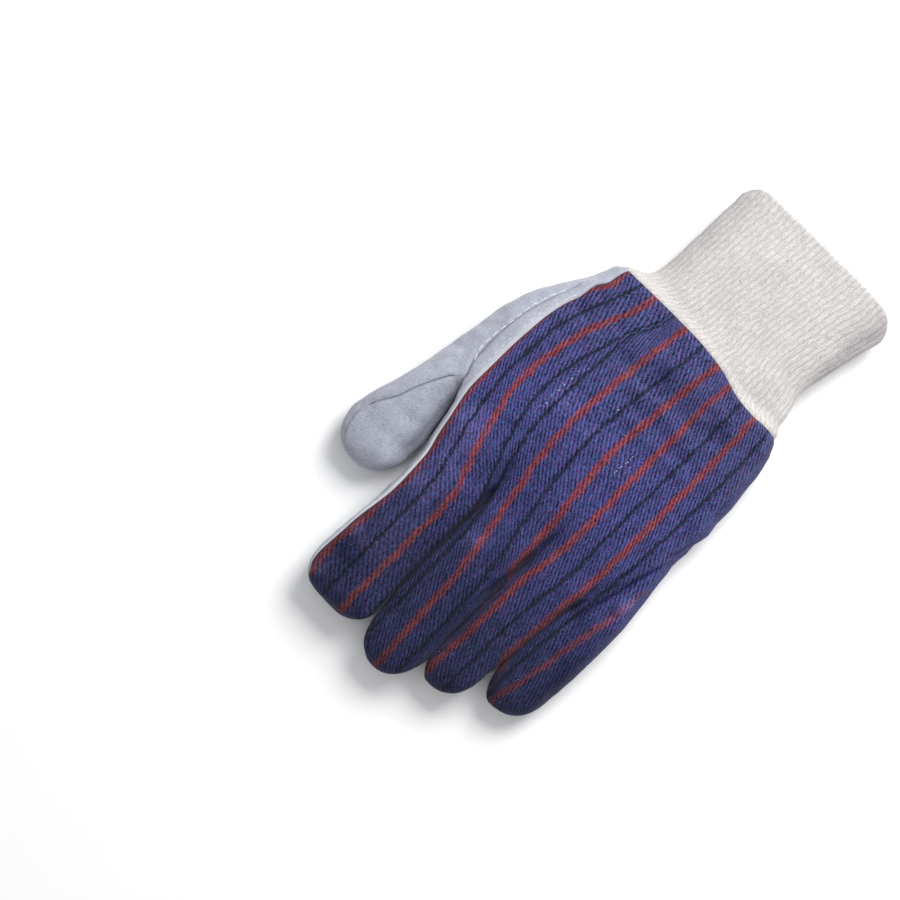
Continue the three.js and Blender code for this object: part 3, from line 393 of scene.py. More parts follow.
# Coloured stripes of the cloth. "u" is the stripe's place across the flat cloth, "path" where it lies, as
# (x, y). Beyond the y of "lost_beyond" it is hidden in the crease between two fingers. A stripe marked
# "pleat" runs into a gather of the wrist, which the weave beside it doesn't follow.
STRIPES = (
    {"colour": "red", "u": -53, "path": (
        (-53.5, 80), (-53, 92), (-53, 100), (-51.6, 110), (-50.4, 117), (-48.9, 124), (-47.4, 133),
        (-46, 142), (-44.7, 149), (-43.5, 155), (-41.5, 162), (-40.5, 169))},
    {"colour": "black", "u": -45, "path": (
        (-43.4, 5), (-44.4, 20), (-44.3, 60), (-43.7, 75), (-43, 90), (-41.6, 105), (-40.8, 115),
        (-39.9, 125), (-38.5, 140), (-37.5, 150))},
    {"colour": "red", "u": -36, "lost_beyond": 157, "path": (
        (-34.8, 4), (-35.5, 20), (-35.7, 100), (-35.3, 108), (-34.3, 116), (-33.4, 125), (-32.9, 135),
        (-32.3, 145), (-32.4, 151), (-34, 158), (-37, 166))},
    {"colour": "black", "u": -26.8, "path": (
        (-26.2, 4), (-26.5, 30), (-26.2, 85), (-26.2, 110), (-24.6, 122), (-23.4, 135), (-22.9, 150))},
    {"colour": "red", "u": -16.5, "path": (
        (-17.7, 2), (-16.7, 12), (-16.5, 25), (-16.5, 70), (-17, 85), (-17, 97), (-16.2, 108), (-14.8, 116),
        (-13.9, 125), (-13.5, 150), (-12.9, 160), (-12.1, 176))},
    {"colour": "red", "u": -3, "lost_beyond": 126, "path": (
        (-8.1, 0), (-7, 10), (-5.5, 20), (-4.4, 30), (-2.8, 45), (-2.2, 60), (-3, 72), (-4, 82), (-5, 92),
        (-6.2, 100), (-7.5, 118), (-8.2, 128), (-8.4, 170))},
    {"colour": "black", "u": 8, "path": (
        (2.4, 0), (3.4, 10), (4.9, 20), (6.5, 32), (7.5, 45), (8.4, 55), (8.2, 65), (7.3, 78), (5.8, 90),
        (4, 100), (2.2, 110), (0.4, 118), (-1, 128), (-2.4, 140), (-3.2, 155), (-3.7, 170))},
    {"colour": "red", "u": 18.5, "path": (
        (13, 0), (14, 8), (15.5, 18), (16.9, 30), (17.9, 40), (18.9, 52), (18.8, 65), (18.3, 75), (17.4, 85),
        (15.4, 95), (13.9, 104), (11.9, 113), (10.3, 122), (8.8, 132), (7.4, 142), (6.5, 160), (5.3, 180),
        (4.7, 190))},
    {"colour": "black", "u": 29, "pleat": True, "path": (
        (20.7, 0), (22.6, 7), (25.5, 13), (28.2, 20), (28.2, 32), (29.1, 45), (29.6, 55), (29.2, 72),
        (28.3, 80), (26.3, 88), (24.4, 95), (20.7, 107), (18.1, 120), (17.4, 140), (16.7, 170))},
    {"colour": "black", "u": 37, "path": (
        (21.3, 0), (23.1, 7), (26, 13), (29.8, 21), (33.2, 33), (35.3, 40), (37, 50), (37.5, 60), (35.5, 73),
        (33.5, 81), (31, 90), (28, 98), (25, 105), (22.5, 112), (21.5, 120), (21, 180))},
    {"colour": "red", "u": 46, "path": (
        (31.1, 0), (34, 10), (37.9, 19), (40.8, 26), (43.3, 35), (44.8, 43), (46.4, 52), (46.9, 60),
        (46.5, 68), (45.1, 76), (43.1, 84), (41.2, 91), (39, 99), (36.3, 106), (33.6, 112), (31.8, 120),
        (31.6, 145), (31.9, 175))},
    {"colour": "black", "u": 53, "path": (
        (39.5, 0), (42.5, 10), (45.9, 17), (50.4, 30), (52.8, 45), (53.7, 62), (53.1, 70), (50.6, 85),
        (47.6, 100), (45.2, 108), (43.4, 115), (42.5, 122), (42, 135), (41.9, 180))},
    {"colour": "red", "u": 60, "path": (
        (47.6, 0), (48.6, 8), (52.9, 15), (56, 22), (58.6, 33), (60, 45), (60.4, 56), (60.1, 66), (59.6, 75),
        (58.5, 85), (57.5, 93), (54.5, 105), (52.5, 115), (51.7, 125), (52, 140), (52.4, 152), (53.6, 159),
        (54.2, 166), (53.9, 172), (53, 178), (52.6, 183))},
)
STRIPE_HALF_WIDTH = {"red": 1.4, "black": 0.7}
STRIPE_FADE = 0.25  # a stripe's soft edge
STRIPE_GAP = 0.8  # between two stripes at least
# Distances are true this near to a stripe, and within this share of the way to the next one.
STRIPE_MARGIN = {"most": 2.2, "share": 0.45}
# Cloth this near to a stripe's middle is hidden with it, and it goes under over this length.
STRIPE_HIDDEN = {"beside": 2.6, "length": 2}
# The outermost stripe lies further down the little finger's side below the knuckle.
OUTER_STRIPE = {"further": 9.5, "y": (83, 93)}
# How much wider a thread of the cloth shows than at the cuff, by x: less where the back curves down.
WEAVE_WIDTH = (
    (-60, -0.22), (-45, -0.2), (-30, -0.1), (-15, -0.01), (0, 0.09), (15, 0.06), (30, 0.04), (45, -0.17),
    (60, -0.2),
)
# Creases between the fingers, as y and x, and the cloth that they take up: how much, where along the hand
# it begins, and how wide the crease is.
CREASE_PATHS = (
    ((80, 95, 118, 130, 168), (28, 23, 21.4, 22.4, 22.6)),
    ((80, 100, 130, 170), (-10.5, -10, -9, -8.7)),
    ((90, 108, 120, 155), (-39.5, -38.5, -35.6, -32.6)),
)
TAKEN_UP = {"cloth": 20, "y": (84, 106), "width": 1.6}

# The knitted cuff. Its rows are left, right, top and sole at each y.
CUFF = {
    "wall": 2.6,
    "clearance": 0.35,  # to the hand's wall
    "ribs": 68,
    "points_per_rib": 11,
    "rib_height": 0.3,
    "length": 66.0,
    # At the hem below the little finger the upper layer hangs down; this fades in over these ranges.
    "hang": {"most": 4.4, "left": (20, 52), "down": (12, 60), "upward": (0, 0.6)},
    "roundness": 2.5,
    "plain_band": 1.8,  # unribbed edge below the seam, with a low lip
    "lip": {"height": 0.25, "before": 0.4, "half_width": 0.7},
    "flare": (0.2, 5.0),  # distance below the seam over which it narrows from the hand to the tube
    "rows": {
        8: (-44.6, 45, 22.8, 1.2),
        -5: (-44.4, 43.4, 23.2, 0.6),
        -10: (-43.4, 39.8, 22.8, 0.2),
        -17: (-41.6, 38.2, 22.4, 0),
        -30: (-43.6, 37.5, 22.2, 0),
        -45: (-46.8, 37, 22.2, 0),
        -58: (-50.2, 36.6, 21.8, 0),
        -68.6: (-51.4, 36.4, 21.4, 0),
    },
    "hem_y": -68.6,
    "hem_rise": {"left": 10.5, "right": 7, "left_power": 11, "right_power": 18},
}
# Unevenness of the knit: ribs that sway, ribs that are stronger or weaker, and lumps of the surface.
RIB_SWAY = ((0.5, 10.0, 1.3), (0.32, 3.6, 8.1), (0.12, 1.6, 5.5))
SWAY_RIBS = 0.4  # ribs that a sway of 1 moves them by
RIB_STRENGTH = ((0.9, 6.0, 4.4), (0.4, 2.2, 6.6))
USUAL_STRENGTH = 0.75
STRENGTH_LIMITS = (0.1, 1.6)
KNIT_LUMPS = ((0.5, 16.0, 3.9), (0.18, 6.0, 6.1))

PANELS = ("back", "palm", "thumb_outer", "thumb_inner")


# Curves and noise

def hermite(start, start_slope, end, end_slope, t):
    return (
        (2 * t**3 - 3 * t**2 + 1) * start
        + (t**3 - 2 * t**2 + t) * start_slope
        + (3 * t**2 - 2 * t**3) * end
        + (t**3 - t**2) * end_slope
    )


def smoothstep(value, low, high):
    t = np.clip((value - low) / (high - low), 0, 1)
    return t * t * (3 - 2 * t)


def along(table_y, table_values, y):
    """Smooth curve through the rows of a table, at every y."""
    order = np.argsort(table_y)
    rows_y = np.asarray(table_y, float)[order]
    values = np.asarray(table_values, float)[order]
    last = len(rows_y) - 1
    before = np.maximum(np.arange(last + 1) - 1, 0)
    after = np.minimum(np.arange(last + 1) + 1, last)
    slope = (values[after] - values[before]) / (rows_y[after] - rows_y[before])[:, None]
    k = np.clip(np.searchsorted(rows_y, y) - 1, 0, last - 1)
    span = rows_y[k + 1] - rows_y[k]
    t = np.clip((y - rows_y[k]) / span, 0, 1)[:, None]
    return hermite(values[k], slope[k] * span[:, None], values[k + 1], slope[k + 1] * span[:, None], t)


def line_points(lines, name, y):
    column = lines["names"].index(name)
    x_z = along(list(lines["rows"]), [row[column] for row in lines["rows"].values()], y)
    return np.column_stack([x_z[:, 0], y, x_z[:, 1]])


def closed_rings(controls, counts):
    """Rounded closed rings through controls[ring, k]; counts[k] steps from control k to the next."""
    before = np.roll(controls, 1, axis=1)
    after = np.roll(controls, -1, axis=1)
    beyond = np.roll(controls, -2, axis=1)
    a = np.sqrt(np.linalg.norm(controls - before, axis=2, keepdims=True))
    b = np.sqrt(np.linalg.norm(after - controls, axis=2, keepdims=True))
    c = np.sqrt(np.linalg.norm(beyond - after, axis=2, keepdims=True))
    start = ((controls - before) / a - (after - before) / (a + b) + (after - controls) / b) * b
    end = ((after - controls) / b - (beyond - controls) / (b + c) + (beyond - after) / c) * b
    spans = []
    for k, count in enumerate(counts):
        t = np.linspace(0, 1, count + 1)[None, :, None]
        points = hermite(controls[:, k, None], start[:, k, None], after[:, k, None], end[:, k, None], t)
        points[..., 2] = np.maximum(points[..., 2], 0)
        spans.append(points)
    return spans


def join(pieces):
    """Runs of points joined end to end; each starts where the last one ends."""
    return np.concatenate([pieces[0]] + [piece[..., 1:, :] for piece in pieces[1:]], axis=-2)


def straight(a, b, count):
    t = np.linspace(0, 1, count + 1)[:, None]
    return a[..., None, :] * (1 - t) + b[..., None, :] * t


def run_length(points):
    """Distance along each run of points, from its first point."""
    steps = np.linalg.norm(np.diff(points, axis=-2), axis=-1)
    return np.concatenate([np.zeros_like(steps[..., :1]), np.cumsum(steps, axis=-1)], axis=-1)


LATTICE_SIZE = 32
LATTICE = np.random.default_rng(11).uniform(-1, 1, (LATTICE_SIZE,) * 3)


def lumps(points, size, offset=0.0):
    """A smooth value from -1 to 1 at each point, that varies over about size millimetres."""
    place = points / size + offset
    corner = np.floor(place).astype(int)
    part = place - corner
    part = part * part * (3 - 2 * part)
    total = np.zeros(len(points))
    for step in product((0, 1), repeat=3):
        weight = np.prod(np.where(step, part, 1 - part), axis=1)
        total += weight * LATTICE[tuple(((corner + step) % LATTICE_SIZE).T)]
    return total


def unevenness(points, table, start=0):
    """Sum of lumps; each row of the table is height, size and offset."""
    return sum((height * lumps(points, size, offset) for height, size, offset in table), start)


def bell(distance, height, middle, half_width):
    return height * np.exp(-(((distance - middle) / half_width) ** 2))


def table_at(table, where):
    """Straight lines between the rows (place, value) of a table."""
    return np.interp(where, *zip(*table))


def within(value, limits):
    return (value > limits[0]) & (value < limits[1])


# The skin of the hand

class Skin:
    """Grids of points with their panel and their place on the flat cloth."""

    def __init__(self):
        self.grids = []

    def add(self, points, cloth, panel):
        self.grids.append((points, cloth, PANELS.index(panel)))

    def weld(self):
        """Shared points, four-sided faces, each face's panel, and each face corner's place on the cloth."""
        every = np.concatenate([points.reshape(-1, 3) for points, _, _ in self.grids])
        cloth = np.concatenate([place.reshape(-1, 2) for _, place, _ in self.grids])
        keys = np.round(every * MERGE_STEPS).astype(np.int64)
        _, first, index = np.unique(keys, axis=0, return_index=True, return_inverse=True)
        corners = []
        panels = []
        base = 0
        for points, _, panel in self.grids:
            rows, columns = points.shape[:2]
            number = base + np.arange(rows * columns).reshape(rows, columns)
            quads = np.stack([number[:-1, :-1], number[:-1, 1:], number[1:, 1:], number[1:, :-1]], axis=-1)
            corners.append(quads.reshape(-1, 4))
            panels.append(np.full(len(corners[-1]), panel))
            base += rows * columns
        corners = np.concatenate(corners)
        return every[first], index.reshape(-1)[corners], np.concatenate(panels), cloth[corners]


BACK_RUN = PALM_LINES["names"][:10]
SOLE_RUN = SOLE_LINES["names"]
THUMB_RUN = tuple("thumb_" + name for name in THUMB_LINES["names"])


def palm_controls(shares):
    """Points of the palm's lines at shares of their way from wrist to knuckles."""
    controls = {}
    for lines in (PALM_LINES, SOLE_LINES):
        for name, start, end in zip(lines["names"], lines["start"], lines["end"]):
            controls[name] = line_points(lines, name, start + shares * (end - start))
    start = PALM_LINES["start"][-1]
    thumb_y = start + shares / THUMB_SHARE * (THUMB_ROOT_Y - start)
    for name in THUMB_LINES["names"]:
        controls["thumb_" + name] = line_points(THUMB_LINES, name, thumb_y)
    controls["indexEdge"] = (controls["stitchLine"] + controls["thumbRoot"]) / 2
    controls["indexEdge"][:, 0] += table_at(INDEX_BULGE, shares)
    return controls


def palm_spans(shares, with_thumb):
    """Spans of the palm's rings, each under the name of the line where it starts."""
    controls = palm_controls(shares)
    side = THUMB_RUN if with_thumb else ("indexEdge",)
    names = ("pinkyCornerB",) + BACK_RUN + ("stitchLine",) + side + SOLE_RUN[:-1]
    counts = [FLANK, FLANK] + [ACROSS] * 8 + [STRIP]
    if with_thumb:
        counts += [2 * THUMB_ACROSS, FLANK - STRIP, FLANK, THUMB_ACROSS, THUMB_ACROSS]
    else:
        counts += [FLANK - STRIP, FLANK]
    counts += [ACROSS] * 8
    rings = closed_rings(np.stack([controls[name] for name in names], axis=1), counts)
    return dict(zip(names, rings))


def build_palm(skin):
    """The hand from wrist to knuckles. Returns the spans of its last rings and the thumb's first ring."""
    lower = np.linspace(0, THUMB_SHARE, PALM_RINGS["beside_thumb"])
    upper = np.linspace(THUMB_SHARE, 1, PALM_RINGS["beyond_thumb"])
    low = palm_spans(lower, True)
    high_with = palm_spans(upper, True)
    high = palm_spans(upper, False)
    blend = smoothstep(upper, THUMB_SHARE, INDEX_SHARE)[:, None, None]
    shared = ("pinkyCornerB",) + BACK_RUN + SOLE_RUN[:-1]
    for name in shared:
        high[name] = high_with[name] * (1 - blend) + high[name] * blend
    stitch, root = high["clothEdge"][:, -1], high["thumbRoot"][:, 0]
    fold = straight(stitch, root, 2 * FLANK - STRIP)
    high["stitchLine"] = fold[:, : FLANK - STRIP + 1] * (1 - blend) + high["stitchLine"] * blend
    high["indexEdge"] = fold[:, FLANK - STRIP :] * (1 - blend) + high["indexEdge"] * blend

    both = {name: np.concatenate([low[name], high[name][1:]]) for name in shared}
    back = join([both[name] for name in ("pinkyCornerB",) + BACK_RUN[:-1]])
    skin.add(back, cloth_places(back, 2 * FLANK, back.shape[1] - 1), "back")
    skin.add(both["clothEdge"], flat_places(both["clothEdge"]), "palm")
    sole = join([both[name] for name in SOLE_RUN[:-1]])
    skin.add(sole, flat_places(sole), "palm")
    side = join([high["stitchLine"], high["indexEdge"]])
    skin.add(side, flat_places(side), "palm")
    outer = join([low[name] for name in ("stitchLine",) + THUMB_RUN])
    skin.add(outer, flat_places(outer), "thumb_outer")

    thumb_root = {
        "top": low["stitchLine"],
        "right": join([low["thumb_corner"], low["thumb_edge"]]),
        "sole": join([low["thumb_cornerB"], low["thumb_pad"]]),
    }
    thumb_root = {name: points[-2:] for name, points in thumb_root.items()}
    return high, thumb_root, fold[0]


def seen(points):
    """Where points show in the view in which stripes and folds are drawn."""
    shift = VIEW["slant"] * (points[..., 2] - VIEW["height"])
    return np.stack([points[..., 0] + shift, points[..., 1] - shift], axis=-1)


def cloth_places(points, left, right):
    """Place on the cloth: across it as seen between two columns, by distance down the sides."""
    length = run_length(points)
    places = seen(points)
    places[:, :left, 0] = places[:, left, 0, None] - (length[:, left, None] - length[:, :left])
    places[:, right:, 0] = places[:, right, 0, None] + (length[:, right:] - length[:, right, None])
    return places


def flat_places(points):
    """Place on leather: straight from above."""
    return points[..., :2].copy()


def knuckle(name, spans, ring_number):
    """The four sides of a finger's first ring, from the palm's rings."""
    lines = KNUCKLES[name]
    sides = {}
    for side in ("top", "sole", "right", "left"):
        if side in lines:
            sides[side] = join([spans[start][ring_number] for start in lines[side][:-1]])
    if "right" not in sides:
        sides["right"] = straight(sides["top"][-1], sides["sole"][0], 2 * FLANK)
    if "left" not in sides:
        sides["left"] = straight(sides["sole"][-1], sides["top"][0], 2 * FLANK)
    return sides


def finger_rings(name, y):
    """A finger's rings at every y, as runs of points on its four sides."""
    rows = FINGERS[name]["rows"]
    left, right, top, sole = along(list(rows), list(rows.values()), y).T
    middle = (left + right) / 2
    widest = (top + sole) / 2 - SIDE_DROP
    if name != "pinky":
        left = left + FINGER_GAP / 2
    if name != "index":
        right = right - FINGER_GAP / 2
    leather = name == "index"
    left_corner = CORNER if name == "pinky" else PRESSED
    right_corner = CLOTH_EDGE if leather else PRESSED
    further_out = smoothstep(y, *FURTHER_OUT)

    def inset(corner):
        return corner["inset"] + further_out * (corner.get("tip_inset", corner["inset"]) - corner["inset"])

    places = [
        (left + left_corner["inset"], top - left_corner["drop"]),
        (middle, top),
        (right - inset(right_corner), top - right_corner["drop"]),
        (right - inset(WELT), top - WELT["drop"]),
        (right, widest),
        (right - SOLE_CORNER["inset"], sole + SOLE_CORNER["rise"]),
        (middle, sole),
        (left + SOLE_CORNER["inset"], sole + SOLE_CORNER["rise"]),
        (left, widest),
    ]
    counts = [ACROSS, ACROSS, STRIP, FLANK - STRIP, FLANK, ACROSS, ACROSS, FLANK, FLANK]
    if not leather:
        del places[3]
        counts[2:4] = [FLANK]
    controls = np.stack([np.stack([x, y, z], axis=-1) for x, z in places], axis=1)
    runs = closed_rings(controls, counts)
    sides = {"top": runs[:2], "right": runs[2:-4], "sole": runs[-4:-2], "left": runs[-2:]}
    return {side: join(pieces) for side, pieces in sides.items()}


def tip_rings(shoulder, shoulder_y, tip, roundness):
    """Rings near the tip: the shoulder's ring drawn in towards the tip's own centre."""
    reach = np.sin(TIP_ANGLES)
    width = (1 - reach**roundness) ** (1 / roundness)
    made = {}
    for side, points in shoulder.items():
        rings = tip + (points[None] - tip) * width[:, None, None]
        rings[..., 1] = (shoulder_y + (tip[1] - shoulder_y) * reach)[:, None]
        made[side] = rings
    return made


def turn_seam(tips):
    """Slides the edge between a tip's top and its right side down that side, along the same rings."""
    rings = join([tips["top"], tips["right"]])
    corner = tips["top"].shape[1] - 1
    crown = corner // 2
    turn = SEAM_TURN["share"] * smoothstep(TIP_ANGLES, *SEAM_TURN["angles"])
    for ring, length, share in zip(rings, run_length(rings), turn):
        before = (length[crown], length[corner], length[-1])
        after = (length[crown], length[corner] + share * (length[-1] - length[corner]), length[-1])
        where = length.copy()
        where[crown:] = np.interp(length[crown:], before, after)
        ring[:] = np.column_stack([np.interp(where, length, ring[:, axis]) for axis in range(3)])
    return dict(tips, top=rings[:, : corner + 1], right=rings[:, corner:])


def cap(sides, tip):
    """Grid that closes the end ring and bulges to the tip."""
    top, right = sides["top"], sides["right"]
    sole, left = sides["sole"][::-1], sides["left"][::-1]
    u = np.linspace(0, 1, len(top))[None, :, None]
    v = np.linspace(0, 1, len(right))[:, None, None]
    grid = top[None] * (1 - v) + sole[None] * v + left[:, None] * (1 - u) + right[:, None] * u
    grid -= top[0] * (1 - u) * (1 - v) + top[-1] * u * (1 - v) + sole[0] * (1 - u) * v + sole[-1] * u * v
    a = (2 * u[..., 0] - 1) ** 2
    b = (2 * v[..., 0] - 1) ** 2
    grid[..., 1] += (tip[1] - grid[..., 1]) * (1 - (a + b - a * b))
    grid[0], grid[-1], grid[:, 0], grid[:, -1] = top, sole, left, right
    return grid


def joint(before, first, second, spacing):
    """Rings from the body's last to a finger's first, smooth at both ends. "before" holds two rings."""
    start = before[-1]
    gap = (first[:, 1] - start[:, 1])[:, None]
    least_rise = 0.2
    rise = np.maximum(before[-1][:, 1] - before[-2][:, 1], least_rise)[:, None]
    start_slope = (before[-1] - before[-2]) / rise * gap
    end_slope = (second - first) / spacing * gap
    t = np.linspace(0, 1, JOINT + 1)[:, None, None]
    points = hermite(start[None], start_slope[None], first[None], end_slope[None], t)
    points[..., 2] = np.maximum(points[..., 2], 0)
    return points


def grow(skin, starts, rows, shoulder_y, tip, roundness, panels, end_panel):
    """Adds a finger or thumb: its joint, its rows and its rounded tip."""
    tip = np.array(tip, float)
    spacing = rows["top"][1, 0, 1] - rows["top"][0, 0, 1]
    shoulder = {side: points[-1] for side, points in rows.items()}
    tips = tip_rings(shoulder, shoulder_y, tip, roundness)
    if panels["right"] == "palm":
        tips = turn_seam(tips)
    crown = rows["top"].shape[1] // 2
    spine = np.concatenate([rows["top"][-1:, crown], tips["top"][:, crown]])
    tip_places = shoulder_y + run_length(spine)[1:]
    ends = {}
    for side, points in rows.items():
        bend = joint(starts[side], points[0], points[1], spacing)
        whole = np.concatenate([bend, points[1:], tips[side]])
        if side == "left":
            places = cloth_places(whole, whole.shape[1] - 1, whole.shape[1] - 1)
        elif side == "right":
            places = cloth_places(whole, 0, 0)
        else:
            places = flat_places(whole)
        places[-len(tip_places):, :, 1] = tip_places[:, None]
        skin.add(whole, places, panels[side])
        ends[side] = whole[-1]
    end = cap(ends, tip)
    places = flat_places(end)
    places[..., 1] = tip_places[-1] + end[0, :, 2][None] - end[..., 2]
    skin.add(end, places, end_panel)


def rows_between(table):
    """Every y at which a finger's rings are made, with the first and the last."""
    first, last = min(table), max(table)
    return np.linspace(first, last, round((last - first) / STEP) + 1)


def build_finger(skin, name, spans):
    """Adds a finger that grows from the palm's last rings."""
    shape = FINGERS[name]
    y = rows_between(shape["rows"])
    rows = finger_rings(name, y)
    starts = {side: [knuckle(name, spans, k)[side] for k in (-2, -1)] for side in rows}
    panels = {"top": "back", "right": "palm" if name == "index" else "back", "sole": "palm", "left": "back"}
    grow(skin, starts, rows, y[-1], shape["tip"], shape["roundness"], panels, "back")


def thumb_rings(y):
    """The thumb's rings at every y, as runs of points on its four sides."""
    controls = {}
    for lines in (THUMB_LINES, THUMB_INNER_LINES):
        for name in lines["names"]:
            controls[name] = line_points(lines, name, y)
    names = ("seam",) + THUMB_LINES["names"] + THUMB_INNER_LINES["names"][:-1]
    counts = [2 * THUMB_ACROSS, FLANK - STRIP, FLANK, THUMB_ACROSS, THUMB_ACROSS, *THUMB_INNER]
    counts.append(2 * FLANK - STRIP - sum(THUMB_INNER))
    runs = closed_rings(np.stack([controls[name] for name in names], axis=1), counts)
    return {"top": runs[0], "right": join(runs[1:3]), "sole": join(runs[3:5]), "left": join(runs[5:])}


def build_thumb(skin, root, fold):
    """Adds the thumb, whose inner side starts at the fold beside the palm."""
    y = rows_between(THUMB_INNER_LINES["rows"])
    rows = thumb_rings(y)
    inner = fold[::-1]
    at_sole = root["sole"][-1, -1] - root["sole"][-2, -1]
    at_top = root["top"][-1, 0] - root["top"][-2, 0]
    step = straight(at_sole, at_top, len(inner) - 1)
    starts = dict(root, left=[inner - step, inner])
    panels = {"top": "thumb_outer", "right": "thumb_outer", "sole": "thumb_outer", "left": "thumb_inner"}
    grow(skin, starts, rows, y[-1], THUMB_TIP["tip"], THUMB_TIP["roundness"], panels, "thumb_inner")


# Folds of the worn cloth and leather

FOLD_FADE = (-0.05, 0.3)  # shares of a fold's length from its end between which it fades in


def fold_rise(x, y, folds):
    """Sum of the creases and ridges at each point; each fades out towards both ends of its path."""
    total = np.zeros(len(x))
    for rise, half_width, path in folds:
        path = np.array(path, float)
        lengths = np.linalg.norm(np.diff(path, axis=0), axis=1)
        starts = np.concatenate([[0], np.cumsum(lengths)[:-1]])
        nearest = np.full(len(x), np.inf)
        share = np.zeros(len(x))
        for a, b, length, start in zip(path[:-1], path[1:], lengths, starts):
            ax, ay = x - a[0], y - a[1]
            dx, dy = (b - a) / length
            along_it = np.clip(ax * dx + ay * dy, 0, length)
            distance = np.hypot(ax - along_it * dx, ay - along_it * dy)
            closer = distance < nearest
            nearest[closer] = distance[closer]
            share[closer] = ((start + along_it) / lengths.sum())[closer]
        fade = smoothstep(share, *FOLD_FADE) * smoothstep(1 - share, *FOLD_FADE)
        total += rise * fade * np.exp(-((nearest / half_width) ** 2))
    return total


def dent_rise(x, y, dents):
    """Sum of the hollows and swellings at each point."""
    total = np.zeros(len(x))
    for rise, (cx, cy), (across, length) in dents:
        total += rise * np.exp(-(((x - cx) / across) ** 2) - ((y - cy) / length) ** 2)
    return total


def vertex_normals(points, faces):
    """The normal at each point of a mesh of four-sided faces."""
    diagonal_a = points[faces[:, 2]] - points[faces[:, 0]]
    diagonal_b = points[faces[:, 3]] - points[faces[:, 1]]
    face_normals = np.cross(diagonal_a, diagonal_b)
    normals = np.zeros_like(points)
    for corner in range(4):
        np.add.at(normals, faces[:, corner], face_normals)
    return normals / np.maximum(np.linalg.norm(normals, axis=1, keepdims=True), TINY)


def distance_to(points, chosen):
    """Distance from every point to the nearest chosen one."""
    tree = KDTree(int(chosen.sum()))
    for number, point in enumerate(points[chosen]):
        tree.insert(point, number)
    tree.balance()
    return np.array([tree.find(point)[2] for point in points])


def rim_edges(faces):
    """Edges on the rim of some faces, in the direction in which their face goes round them."""
    starts = faces.reshape(-1)
    ends = np.roll(faces, -1, axis=1).reshape(-1)
    known = set(zip(starts.tolist(), ends.tolist()))
    return np.array([(a, b) for a, b in known if (b, a) not in known])


def panel_edges(points, faces, panels):
    """The panels of each point, and which points lie on a seam that shows, on the strip's seam and hidden."""
    member = np.zeros((len(points), len(PANELS)), bool)
    for number in range(len(PANELS)):
        member[faces[panels == number].reshape(-1), number] = True
    back, palm, thumb_outer, thumb_inner = member.T
    x, y, z = points.T
    strip_seam = (x > INDEX_SIDE["x"]) | ((x > INDEX_SIDE["upper_x"]) & (z > INDEX_SIDE["height"]))
    strip_seam &= back & palm
    hidden = thumb_outer & palm & (y < HIDDEN_SEAM["wrist_y"]) & (z > HIDDEN_SEAM["height"])
    hidden |= thumb_outer & thumb_inner & (y > HIDDEN_SEAM["tip_y"])
    seam = (member.sum(axis=1) > 1) & ~hidden
    return member.T, seam, strip_seam, hidden


def shape_skin(points, faces, panels):
    """Moves the skin by its folds, lumps and seams. Returns it, its panels' gap and its materials' values."""
    (back, _, thumb_outer, thumb_inner), seam, strip_seam, hidden = panel_edges(points, faces, panels)
    wrist = np.zeros(len(points), bool)
    wrist[np.unique(rim_edges(faces))] = True
    to_seam = distance_to(points, seam)
    to_strip_seam = distance_to(points, strip_seam)
    to_wrist = distance_to(points, wrist)

    normals = vertex_normals(points, faces)
    x, y = seen(points).T
    cloth = back & ~thumb_outer
    between = (np.abs(normals[:, 2]) < CLEFTS["steep"]) & within(y, CLEFTS["y"]) & within(x, CLEFTS["x"])
    upper = smoothstep(normals[:, 2], 0.0, 0.5)
    upper = np.maximum(upper, np.where(between, smoothstep(points[:, 2], *CLEFTS["height"]), 0))
    lower = smoothstep(-normals[:, 2], 0.0, 0.55)
    outer = smoothstep(-normals[:, 0], 0.3, 0.9) * (points[:, 0] < LITTLE_EDGE_X) * cloth

    # Along the skin's normals, and straight up for the folds of the back.
    rise = np.where(cloth, unevenness(points, CLOTH_LUMPS), unevenness(points, LEATHER_LUMPS))
    rise *= np.where(between, CLEFTS["lumps"], 1.0)
    rise += lower * fold_rise(x, y, SOLE_FOLDS)
    rise += upper * np.where(thumb_outer | thumb_inner, fold_rise(x, y, THUMB_FOLDS), 0)
    rise += outer * table_at(EDGE_PLEATS, y)
    rise *= 1 - bell(to_seam, *CALM_AT_SEAM)
    rise += sum(bell(to_seam, *row) for row in SEAM_SECTION)
    rise += sum(bell(to_wrist, *row) for row in WRIST_SECTION)
    up = upper * np.where(cloth, fold_rise(x, y, BACK_FOLDS) + dent_rise(x, y, BACK_DENTS), 0)
    moved = points + normals * rise[:, None]
    moved[:, 2] = np.maximum(moved[:, 2] + up, 0)
    moved[:, 0] += bell(to_strip_seam, 1, 0, WAVE_REACH) * upper * table_at(SEAM_WAVES, y)

    cut_edge = smoothstep(table_at(CUT_EDGE, y) - to_strip_seam, -CUT_EDGE_BLUR, CUT_EDGE_BLUR)
    # Painted shade and highlights, with some dirt and fading, kept with the points for the materials.
    marks = 0.5 + 0.5 * upper * (dent_rise(x, y, PAINTED_LIGHT_AND_DIRT_SPOTS) + fold_rise(x, y, CREASE_SHADE))
    gap = np.where(hidden, HIDDEN_SEAM["gap"], SEAM_GAP / 2)
    return moved, gap, {"seam": to_seam, "cut_edge": cut_edge, "marks": marks}


# Making meshes

def add_object(name, data):
    made = bpy.data.objects.new(name, data)
    bpy.context.scene.collection.objects.link(made)
    return made


